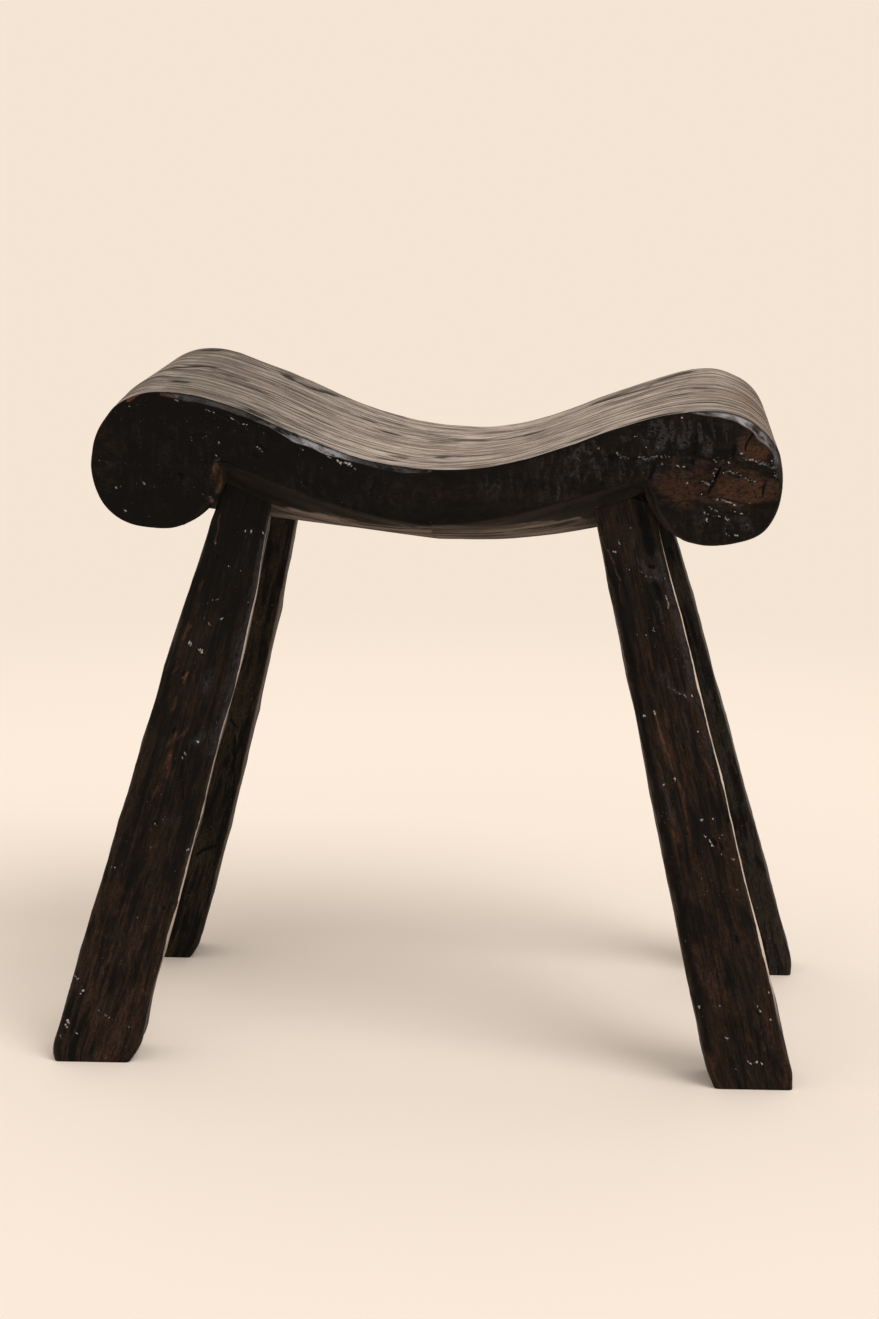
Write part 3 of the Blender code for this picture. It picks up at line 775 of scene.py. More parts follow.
# colours of the waxed wood, its painted sheen and painted glints among them, and how many cells its patterns
# have to a metre along and across the grain
waxTone = {
    "dark": (0.0028, 0.0024, 0.0020), "brown": (0.032, 0.0185, 0.0105), "red": (0.056, 0.026, 0.014),
    "rust": (0.110, 0.048, 0.026), "black": (0.0012, 0.0010, 0.0009), "paintedSheen": (0.050, 0.047, 0.051),
    "paintedGlint": (0.55, 0.535, 0.525), "paintedGlintShare": 0.6, "specular": 0.07,
    "streak": (26, 230, 230), "patch": (22, 52, 52), "fibre": (130, 640, 640), "stroke": (30, 220, 220),
    "pits": (90, 260, 260), "grit": (620, 700, 700),
}
faceTone = {**waxTone, "streak": (60, 130, 130), "patch": (50, 80, 80), "fibre": (380, 480, 480),
            "stroke": (210, 60, 60)}
# the same for the dry top; its glow is the colour of the highlight painted on the cut rim
topTone = {
    "light": (0.530, 0.434, 0.368), "middle": (0.175, 0.141, 0.118), "dark": (0.030, 0.023, 0.018),
    "brown": (0.20, 0.125, 0.085), "glow": (0.300, 0.284, 0.293), "bevel": (0.024, 0.0185, 0.0135),
    "broad": (7, 18, 30), "streak": (12, 150, 60), "thread": (34, 280, 60), "pores": (26, 130, 60),
    "split": (11, 145, 60), "rimHighlightBreak": (90, 190, 190), "rough": 0.85,
}


def buildSeatWood():
    material, tree, shader = newMaterial("saddleSeatWood")
    t = topTone
    place = attribute(tree, "grainPlace", "Vector")
    dryness = attribute(tree, "dryness")
    # worn, dry top: fine grey-brown streaks along the seat with dark pores and splits
    broad = noiseField(tree, place, t["broad"], 3.0, 0.6)
    streak = noiseField(tree, place, t["streak"], 6.0, 0.72, 0.3)
    thread = noiseField(tree, place, t["thread"], 4.0, 0.72)
    colour = mixColour(tree, streak.rise(0.42, 0.56), t["middle"], t["light"])
    browned = attribute(tree, "brownWear")
    colour = mixColour(tree, (broad.rise(0.50, 0.70) * 0.4 + browned * 0.4).least(1.0), colour, t["brown"])
    colour = mixColour(tree, thread.rise(0.50, 0.41) * 0.75, colour, t["middle"])
    pores, pick = cellField(tree, vectorWarp(tree, place, 4 * mm), t["pores"], (3, 1, 2))
    pore = pores.rise(0.42, 0.20) * pick.rise(0.62, 0.66)
    split = noiseField(tree, place, t["split"], 6.0, 0.72, 0.3, (7, 2, 5))
    split = (split + browned * 0.05).rise(0.565, 0.61)
    red, paintedSheen, crackDarkAndShade = (attribute(tree, name) for name in ("redWear", "paintedSheen", "crackDarkAndShade"))
    # pores and splits darken the dry top, and the cracks darken it partly as painted shade in their hollows
    dark = (pore * 0.7 + split * 0.8 + crackDarkAndShade * 1.5).least(1.0)
    dry = scaled(tree, mixColour(tree, dark * 0.92, colour, t["dark"]), attribute(tree, "tone"))
    dryHeight = streak * 0.4 + thread * 0.2 - dark * 0.9
    # front face: the lines lie on it, and its left half is the blackest
    x, y, z = axes(tree, addNode(tree, "ShaderNodeTexCoord").outputs["Object"])
    flat = vectorWarp(tree, vectorField(tree, x - seatMiddle.x, z, 0.0), 4 * mm)
    lines = {kind: linesField(tree, flat, rows) for kind, rows in frontLines.items()}
    onFront = y.rise(seatLow.y + 6 * mm, seatLow.y + 3 * mm)
    brownAt = red + x.rise(-0.07, 0.06) * 0.24 + 0.02
    waxed, waxRough, waxHeight = waxedLook(tree, place, faceTone, brownAt, red, paintedSheen, lines, onFront)
    waxed = mixColour(tree, browned * streak.rise(0.30, 0.60), waxed, t["bevel"])
    # the cut rim gets a painted blue-grey highlight, broken up by noise
    glow = attribute(tree, "paintedRimHighlight")
    rimHighlightBreak = noiseField(tree, place, t["rimHighlightBreak"], 4.0, 0.65)
    waxed = mixColour(tree, glow * rimHighlightBreak.rise(0.34, 0.62), waxed, t["glow"])
    # cuts and cracks darkened by their depth, partly as painted shade in their hollows
    waxed = mixColour(tree, crackDarkAndShade.least(1.0) * 0.9, waxed, waxTone["dark"])
    share = (dryness + (streak - 0.5) * 0.5).rise(0.35, 0.6) * dryness.rise(0.0, 0.9)
    finishShader(tree, shader, mixColour(tree, share, waxed, dry), waxRough + (t["rough"] - waxRough) * share,
                 waxHeight + (dryHeight - waxHeight) * share, 0.6 * mm, 0.8, waxTone["specular"])
    return material


def buildLegWood(name, shift):
    tone, lines, edge = {**waxTone, **legTones[name]}, legLines[name], legPlans[name]["Foot width"] / 2
    material, tree, shader = newMaterial("hewnLegWood_" + name)
    own = attribute(tree, "grainPlace", "Vector")
    place = vectorNode(tree, "ADD", own, shift)
    height, u, v = axes(tree, own)
    # the listed lines lie on the front face; a little noise keeps them from being ruled
    flat = vectorWarp(tree, vectorField(tree, u, height, 0.0), 5 * mm)
    fields = {kind: linesField(tree, flat, lines[kind]) if kind in lines else 0.0
              for kind in ("glint", "paintedSheen", "rust", "black")}
    low = 1.0 + height.rise(0.24, 0.02) * tone["foot"] - height.rise(0.27, 0.36) * tone["head"]
    colour, rough, relief = waxedLook(tree, place, tone, low * tone["brownShare"], low * tone["redShare"],
                                      tone["paintedSheenShare"], fields, v.rise(-12 * mm, -15 * mm))
    # corners are rubbed lighter, and a pale line runs down the right front corner of a leg
    worn = noiseField(tree, place, (50, 260, 260), 4.0, 0.65)
    rubbed = attribute(tree, "cornerWear") * worn.rise(0.44, 0.62)
    colour = mixColour(tree, rubbed * 0.45, colour, tone["rubbed"])
    wobble = noiseField(tree, place, (60, 12, 12), 4.0, 0.6)
    pale = (u + (wobble - 0.5) * 2.4 * mm).rise(edge - tone["paleWide"], edge - tone["paleWide"] * 0.6)
    pale = pale * v.rise(-8 * mm, -13 * mm) * height.rise(0.03, 0.10) * height.rise(0.378, 0.345)
    colour = mixColour(tree, pale * worn.rise(0.26, 0.40) * tone["paleShare"], colour, tone["pale"])
    finishShader(tree, shader, colour, rough, relief, 0.8 * mm, 0.9, waxTone["specular"])
    return material


wedgeTone = {"dark": (0.22, 0.13, 0.07), "light": (0.42, 0.28, 0.16), "grain": (500, 500, 40)}


def buildWedgeWood():
    material, tree, shader = newMaterial("splitWedgeWood")
    place = addNode(tree, "ShaderNodeTexCoord").outputs["Object"]
    grain = noiseField(tree, place, wedgeTone["grain"], 4.0, 0.6, 0.3)
    colour = mixColour(tree, grain, wedgeTone["dark"], wedgeTone["light"])
    finishShader(tree, shader, colour, grain * 0.2 + 0.6, grain, 0.3 * mm, 0.5, 0.3)
    return material


# Seat piece

seatCuts = {"Face cuts": 1.4 * mm, "Top cuts": 0.4 * mm, "Waviness": 0.8 * mm, "Nick depth": 0.7 * mm,
            "Cut length": 26 * mm, "Cut width": 15 * mm, "Nick size": 3.2 * mm, "Nick share": 0.10}


def buildSeatTree():
    tree, value, result = newGroup("seatFinish", {"Geometry": ["Geometry"], "Float": list(seatCuts),
                                                  "Material": ["Material"]})
    welded = addNode(tree, "GeometryNodeMergeByDistance",
                     {"Geometry": value["Geometry"], "Distance": 0.01 * mm})
    place = named(tree, "grainPlace", "FLOAT_VECTOR")
    face = 1.0 - Field(tree, named(tree, "dryness")).rise(0.0, 0.5)
    depth = face * value["Face cuts"] + (1.0 - face) * value["Top cuts"]
    hewn = useGroup(tree, hewing, {
        "Geometry": welded.outputs[0], "Grain place": place, "Cut depth": depth, "Shift": (0.3, 0.1, 0.2),
        "Nick depth": value["Nick depth"] * face,
        **{key: value[key] for key in ("Cut length", "Cut width", "Waviness", "Nick size", "Nick share")}})
    plug(tree, result, finishTree(tree, hewn, value["Material"]))
    return tree


saddleSeat = runTree("saddleSeat", linked("seatBase", buildSeatBase()), buildSeatTree(),
                     {**seatCuts, "Material": buildSeatWood()})
print("seat built:", len(saddleSeat.data.polygons), "faces")


# Legs: tapered bars that lean out from the seat, shaped by a rule and scribed to the underside

legSize = {
    "footThickness": 38 * mm, "headThickness": 34 * mm, "cornerEase": 3.2 * mm, "footEase": 0.7 * mm,
    "footEaseRise": 14 * mm, "headTuck": 8 * mm, "headInset": 10.5 * mm, "rings": 340, "around": 150,
    "fit": 0.3 * mm, "tenon": 24 * mm, "tenonFlare": 3 * mm, "tenonCover": 19 * mm,
}
legCuts = {"Cut length": 34 * mm, "Cut width": 15 * mm, "Cut depth": 1.6 * mm, "Waviness": 1.4 * mm,
           "Nick depth": 0.7 * mm, "Nick size": 3.0 * mm, "Nick share": 0.09}
# each leg was hewn by eye, so each has its own sizes in millimetres, and its own side, taper and turn
legShapes = {
    "front_left": {"Splay out": 110.6, "Splay back": 31.0, "Bow": 1.2, "Foot width": 57.0, "Head width": 34.5,
                   "Head height": 384.6, "Edge bulge": 3.0, "Head slide": 2.0, "Toe": 2.2, "Foot ease": 4.6},
    "front_right": {"Splay out": 106.5, "Splay back": 20.5, "Bow": 0.8, "Foot width": 57.0,
                    "Head width": 39.0, "Head height": 380.7, "Edge bulge": 0, "Head slide": 0, "Toe": 0,
                    "Foot ease": 2.6},
    "back_left": {"Splay out": 102.4, "Splay back": 6.0, "Bow": -1.0, "Foot width": 53.5, "Head width": 35.0,
                  "Head height": 383.9, "Edge bulge": 0, "Head slide": 0, "Toe": 0, "Foot ease": 3.4},
    "back_right": {"Splay out": 115.2, "Splay back": 29.0, "Bow": 1.0, "Foot width": 55.0, "Head width": 38.0,
                   "Head height": 381.0, "Edge bulge": 0, "Head slide": 0, "Toe": 0, "Foot ease": 3.6},
}
legBends = {"front_left": {"Side": -1.0, "Row": -1.0, "Swell": 2.3, "Turn": radians(4.5)},
            "front_right": {"Side": 1.0, "Row": -1.0, "Swell": 1.2, "Turn": radians(4.5)},
            "back_left": {"Side": -1.0, "Row": 1.0, "Swell": 1.8, "Turn": radians(4)},
            "back_right": {"Side": 1.0, "Row": 1.0, "Swell": 1.8, "Turn": radians(4)}}
legPlans = {name: {**legBends[name], **{key: size * mm for key, size in legShapes[name].items()}}
            for name in legNames}
# how brown and how red each leg is, more at the foot and less at the head, how much sheen is painted on it,
# and its pale right edge
legTones = {
    "front_left": {"brownShare": 0.36, "redShare": 0.22, "foot": 1.3, "head": 0.9, "paintedSheenShare": 0.12,
                   "paleWide": 0.7 * mm, "paleShare": 0.7, "pale": (0.62, 0.50, 0.41),
                   "rubbed": (0.050, 0.040, 0.031)},
    "front_right": {"brownShare": 0.55, "redShare": 0.48, "foot": 0.0, "head": 0.3, "paintedSheenShare": 0.18,
                    "paleWide": 1.2 * mm, "paleShare": 0.95, "pale": (0.62, 0.50, 0.41),
                    "rubbed": (0.070, 0.055, 0.042)},
    "back_left": {"brownShare": 1.6, "redShare": 0.10, "foot": -0.2, "head": 0.2, "paintedSheenShare": 0.05,
                  "brown": (0.030, 0.0205, 0.0120), "rust": (0.055, 0.036, 0.022), "paleWide": 2.2 * mm,
                  "paleShare": 0.6, "pale": (0.16, 0.13, 0.10), "rubbed": (0.060, 0.050, 0.038)},
    "back_right": {"brownShare": 1.4, "redShare": 0.05, "foot": 1.0, "head": 0.0, "paintedSheenShare": 0.12,
                   "brown": (0.030, 0.0235, 0.0170), "rust": (0.050, 0.038, 0.028), "paleWide": 1.8 * mm,
                   "paleShare": 0.6, "pale": (0.13, 0.11, 0.085), "rubbed": (0.050, 0.042, 0.032)},
}
# finer marks, painted glints and painted sheen of each leg's front face: each its half width, its strength
# and its path across and up the leg
legLines = {
    "front_left": {
        "glint": [(0.9, 0.8, 12, 361, 13.7, 359), (0.8, 0.6, 7.3, 361.6, 8.8, 360.3),
            (0.9, 0.7, 25.7, 359.8, 27, 357.2), (0.7, 0.6, 1, 337.7, 2.3, 336.4),
            (0.7, 0.7, 9, 335.9, 13.3, 333.9), (0.4, 0.4, 0.1, 332.4, 5.8, 334.5),
            (0.9, 0.6, -18.7, 352, -17, 351.4), (0.5, 0.5, -12, 311.7, -8.2, 313.1),
            (0.5, 0.45, -5.8, 313.8, 3.9, 315.9), (0.5, 0.4, -11, 301.8, -1.1, 302.6),
            (0.7, 0.6, -3.3, 299.2, -1.2, 297.9), (0.7, 0.6, 5.7, 302.7, 8.6, 304),
            (1, 0.8, -15, 287, -13, 285.1), (1, 1, -4.4, 281.2, -2.7, 279.9),
            (0.5, 0.5, -0.7, 278.6, 7.2, 282), (0.5, 0.4, -10.9, 277.7, -6.8, 279.8),
            (0.5, 0.4, -10.5, 293.1, -5.9, 294.5), (0.8, 0.7, 22.4, 313.9),
            (1.1, 1, 11.4, 220.3, 12.8, 219.3), (0.9, 0.7, 5.5, 212.8, 6.8, 210.8),
            (0.8, 0.6, 4.3, 209.4, 6.1, 208.1), (0.8, 0.6, 22.6, 216.1), (0.9, 0.6, -3.1, 165.8, -2, 164.4),
            (0.9, 0.5, 3.3, 167.9, 4.7, 166.6), (0.8, 0.6, -1.4, 150.1, 0, 148.8), (1.2, 1, 25.5, 147.2),
            (1.1, 0.9, -22, 134.3), (1, 0.6, 6.7, 116), (1, 0.6, 3.5, 100.1), (0.9, 0.5, 13.2, 94.3),
            (0.9, 0.6, -12.1, 71.4, -10.8, 70), (1, 0.9, -26.1, 58.7, -24.7, 57.3),
            (0.7, 0.9, -19.5, 46.3, -17.8, 49.8), (0.6, 0.5, -15.6, 51.5), (0.6, 0.5, -23.8, 46.9),
            (0.8, 0.9, -24, 28.7, -21.7, 27.4), (0.8, 0.8, -23.7, 25.2, -22, 23.9),
            (0.8, 0.7, -16.6, 21.2, -14.8, 19.8), (0.7, 0.6, -25.7, 18.9, -23.2, 16.2),
            (0.6, 0.5, -4.6, 36.1, 3, 30.6, 6.7, 29.3), (0.4, 0.4, 13.7, 26, 18, 25.3, 22.9, 21.9)],
        "paintedSheen": [(3.5, 0.3, 11.4, 339.9, 1.4, 331.1), (4, 0.6, 7.8, 264, 8.7, 258.6),
            (3, 0.5, 11.2, 221, 17, 224.4), (3, 0.35, 4, 167.9, 11.4, 166.7),
            (4, 0.25, 10.2, 357.7, 10.9, 341.2),
            (4.2, 0.75, 28.7, 351.3, 27.1, 333.5, 26.5, 313.6, 26.6, 291.6, 27.6, 266.9, 26.6,
             241.4, 26, 215.8)],
        "rust": [(1.2, 0.8, -22, 370.4, -17.2, 350.7), (0.7, 0.4, -18.3, 348.7, -15.3, 327.6),
            (3, 0.5, -19.4, 324.2, -16.1, 306.3), (2.5, 0.7, -18, 297.7, -20.3, 290.3),
            (1.2, 0.6, -14, 303, -15.3, 299.7), (1.4, 0.9, -8.7, 266.4, -9.9, 260.3),
            (1, 0.5, -21.4, 266.2, -16.6, 271), (2, 0.5, -12.7, 247.5, -13.3, 242.1),
            (1.5, 0.4, -3.7, 245.7, 1.2, 239.7), (2.5, 0.5, -5.3, 224.1, -8.4, 217.3),
            (1.5, 0.6, 2.2, 228.9, -2.5, 222.1), (3, 0.6, -4.9, 210.6, -3.8, 197),
            (2.5, 0.5, -6, 190.2, -9.7, 183.4), (1.5, 0.5, 21.9, 172.3, 22.7, 174.4),
            (2, 0.4, 3.8, 151.6, -0.6, 147.4), (3, 0.5, -20, 90.6, -15, 87.3),
            (3, 0.4, -10, 103.2, -7.3, 108.1), (1.5, 0.5, -7.6, 80.5, -7, 68.7),
            (3.5, 0.35, -4.7, 31.9, 1.6, 28.5), (1.2, 0.6, 21.5, 51.2, 22.9, 48.4),
            (1.2, 0.5, 25.7, 65.2, 25.8, 62.4), (2.8, 0.45, 27.1, 142.4, 27.5, 115.6, 25.2, 91.5)],
        "black": [(1.2, 0.7, -11.9, 266.3, -11.8, 263.7), (0.9, 0.8, 5.8, 204, 9.7, 190.5, 12.9, 181.7),
            (1.2, 0.7, -7, 229.5, -7.4, 226.1), (1.2, 1, 19.2, 107.2), (2, 0.9, 25.7, 147.2),
            (1.8, 0.8, -3, 166.5), (1.2, 0.5, 13.7, 332.6, 15.8, 320.1)],
    },
    "front_right": {
        "glint": [(0.9, 1, 1.8, 370.6), (0.8, 1, -11.1, 362.1, -11, 359.5),
            (0.9, 0.9, -18.1, 355.6, -15.8, 354.3), (0.7, 0.6, -11, 346, -8, 344.1),
            (0.6, 0.55, 1.1, 341.7, 10.8, 338.6, 22.2, 338.1), (0.7, 0.9, 19.6, 326.5, 19.5, 316.8),
            (0.9, 0.9, -6.3, 300.4), (0.9, 0.6, 1.1, 306.2, 1, 304.2), (0.8, 0.6, -0.9, 294.8),
            (0.7, 0.5, -14.1, 302.1, -10.9, 301.5), (0.8, 0.8, 3.1, 268.5, 5.9, 266.6, 10.7, 263.4),
            (0.8, 0.8, 13.9, 263.5, 15.8, 261.6), (0.9, 1, 21.3, 262.2),
            (0.8, 0.7, -23.3, 248.6, -20.1, 248.3), (0.8, 0.8, -12.9, 251.4, -12.6, 249.4),
            (0.9, 0.7, 18.8, 238.8), (1, 1, -7.8, 207.9), (0.9, 0.9, -16.2, 204.2), (0.8, 0.6, -7.7, 252.8),
            (1, 1, 6.2, 180.2), (0.9, 0.9, 14.7, 182.2, 15.8, 180.9), (0.8, 0.8, 5.9, 170.2),
            (0.7, 0.8, 7.9, 167.6, 9.8, 163.7), (0.7, 0.7, 15.7, 169, 20.1, 171.8),
            (0.5, 0.6, 14, 157.1, 20.6, 162.5), (1, 1, 22.1, 154.9), (0.8, 0.7, 20.1, 135.7),
            (0.9, 1, -24.9, 55.4), (0.7, 0.9, -10.6, 58.6, -10.7, 56.6), (0.8, 0.9, -11.1, 35.2),
            (0.8, 1, 15.3, 57.1, 16.2, 53.7), (0.8, 0.9, 21.7, 48.2), (0.8, 0.6, 25.4, 66),
            (0.9, 0.6, 24, 98.8), (0.8, 0.6, 23.3, 82.7), (0.9, 0.9, 0.8, 18.4, 2.5, 17.1, 6.3, 19.2),
            (0.9, 1, 9.5, 18.5), (0.7, 0.8, 13.3, 20.6, 14.2, 18.6), (0.7, 0.5, -9.1, 14.2)],
        "paintedSheen": [(1, 0.4, 4.6, 369.3, -2.7, 352.6), (4, 0.6, -0.3, 348.7, 9.8, 341.1),
            (3.5, 0.7, 6.1, 346.2, 20.1, 340), (2.4, 0.7, 21.9, 352.9, 22.2, 340.7, 24.7, 324.6),
            (3, 0.7, 24.1, 314.9, 23.5, 292.2, 21.4, 269.5), (2.5, 0.6, 23.4, 259.7, 23.5, 217.2),
            (1.2, 0.7, 10.9, 322.5, 12, 312.1), (0.9, 0.5, -24.5, 307.8, -25.1, 292.8),
            (0.8, 0.6, -18.8, 225.1, -16.6, 205.4), (1.5, 0.7, -17, 204.1, -15.4, 179.1),
            (1, 0.5, 10.3, 259.5, 10.9, 233.4), (1.2, 0.5, 9, 232.1, 9.6, 220.3),
            (1.2, 0.4, -5.5, 206.9, -3.7, 189.8), (2.2, 0.7, 2.1, 276.3, 5.7, 266, 17.4, 261.6)],
        "rust": [(0.9, 1, -23.4, 356.2, -20.9, 345.9, -17.3, 336.9), (0.9, 0.6, -20, 333.7, -20.7, 318.8),
            (0.8, 0.45, -6.7, 333.8, 2.6, 329.5, 7.8, 321.1, 8.2, 308.2, 9.5, 298.5),
            (1.2, 0.9, -12.3, 250.7, -12.4, 240.9, -10, 231.8),
            (0.9, 0.7, -10, 231.8, -9.1, 223.3, -7.8, 210.2),
            (1.5, 0.6, -4.5, 252.8, -3.2, 239.7, -1.2, 229.3), (1.2, 0.4, -13, 306, -13.9, 275.5),
            (1.2, 0.4, -6.1, 288.6, -10, 259.2), (1.6, 0.6, -5.5, 206.9, -5.1, 190.5, -6.2, 174),
            (2, 0.6, -18.1, 173.8, -15.5, 165.9), (1.2, 0.7, 19.8, 220.4, 21.7, 205.4),
            (1.2, 0.5, -1.4, 216.8, 3.4, 193.9), (1.4, 0.5, -19.9, 140.6, -18.2, 128.7),
            (1.2, 0.5, -14.4, 132.8, -14.6, 119.4), (0.9, 0.5, -5.5, 130.9, -4.6, 119.6),
            (1.2, 0.6, -6, 100.9, -7.8, 77.5), (0.8, 0.7, 13.9, 40.9, 13.5, 27.4),
            (0.8, 0.6, 17.7, 30.9, 18.4, 16.7), (0.8, 0.7, -0.7, 23.8, 0.3, 19),
            (0.9, 0.7, -1.6, 13.6, 0.1, 6.2), (0.9, 0.6, 18.3, 13.3, 20.4, 5.2)],
        # the first, wide black line, at the head, is painted shade under the seat; the last darkens the strip
        # down the left edge
        "black": [(5, 0.85, 15, 380, 15, 356), (3, 0.8, 12.9, 334.1, 13.9, 326.4),
            (1.8, 0.8, 11.5, 346.3, 14.9, 345.7), (1.6, 1, 10.7, 167, 11.8, 165.7), (1.3, 1, 25.4, 181.8),
            (1.3, 0.8, 16.1, 165.1, 16.9, 162.5), (1.5, 0.8, 11.5, 103.9, 12, 99.9),
            (1.3, 0.7, 13.6, 54.4, 15.1, 51.7), (1, 0.6, -6.5, 257.3, -8, 248.8),
            (5, 0.6, -23.5, 340.1, -22.9, 294.8, -24.7, 232.9, -23.3, 183.6, -23.6, 124, -24.5,
             70.5, -24.8, 26.7)],
    },
    "back_left": {
        "rust": [(2.5, 0.6, 15.2, 262.7, 12.5, 249.8), (3.5, 0.6, 12.9, 215.8, 12.3, 208.1),
            (2.5, 0.7, 15.3, 173.7, 14.8, 166), (2.5, 0.4, 13.5, 142.8, 13.3, 131.2),
            (3, 0.4, 13.5, 68.5, 14.5, 52.7), (1.5, 0.5, 9, 95.9, 11.5, 92.1)],
        "paintedSheen": [(0.9, 0.4, 22.7, 321, 22.5, 307.7)],
        "black": [(1.2, 1, 7.2, 81.8, 13, 85.8, 19.1, 89.1), (1.4, 0.8, 12.9, 173.7, 18.8, 146.8),
            (1, 0.8, 6.8, 185.1, 13.8, 179.9), (2.5, 0.5, 20.3, 215.9, 18.1, 208.2),
            (2, 0.5, 24.1, 276.4, 24.4, 261.3)],
    },
    "back_right": {
        "rust": [(2, 0.5, 23.3, 181.6, 22.7, 174), (2, 0.6, 23.5, 120.6, 19.5, 111.3),
            (3, 0.3, 22.2, 101.4, 17.3, 74.1), (5, 0.4, 18.7, 50.7, 13.6, 19.2),
            (1.5, 0.4, 33.3, 66.7, 28.9, 35.3)],
        "paintedSheen": [(1.2, 0.4, 23.3, 262.4, 17.8, 252.7)],
        "black": [(2.5, 0.6, 22.9, 155.1, 21.6, 135.9), (2.5, 0.5, 20.6, 211.7, 19.8, 200.4)],
    },
}
headOut = seatSize["rollReach"] - (seatSize["leftRadius"] + seatSize["rightRadius"]) / 2 + legSize["headTuck"]
headBack = seatSize["depth"] / 2 - legSize["headInset"] - legSize["headThickness"] / 2
planInputs = ["Side", "Row", "Splay out", "Splay back", "Bow", "Foot width", "Head width", "Swell", "Turn",
              "Head height"]


def buildLegPoint():
    # a point of the bar (u, v) at a height, on the leaning, tapering leg
    tree, value, result = newGroup("legPoint", {"Float": ["U", "V", "Height"] + planInputs}, "Vector")
    share = value["Height"] / value["Head height"]
    below = 1.0 - share
    narrowing = (value["Foot width"] - value["Head width"]) * share.most(0.0) ** value["Swell"]
    width = value["Foot width"] - narrowing
    thickness = share * (legSize["headThickness"] - legSize["footThickness"]) + legSize["footThickness"]
    out = value["Splay out"] * below + value["Bow"] * 4.0 * below * share + headOut
    back = value["Splay back"] * below + headBack
    across, along = share.sum("COSINE", value["Turn"]), share.sum("SINE", value["Turn"])
    u = value["U"] * width / value["Foot width"]
    v = value["V"] * thickness / legSize["footThickness"]
    x = value["Side"] * (out - width * across / 2.0) + u * across - v * along + seatMiddle.x
    y = value["Row"] * back - value["Side"] * width * along / 2.0 + u * along + v * across + seatMiddle.y
    plug(tree, result, vectorField(tree, x, y, value["Height"]))
    return tree


legPoint = buildLegPoint()


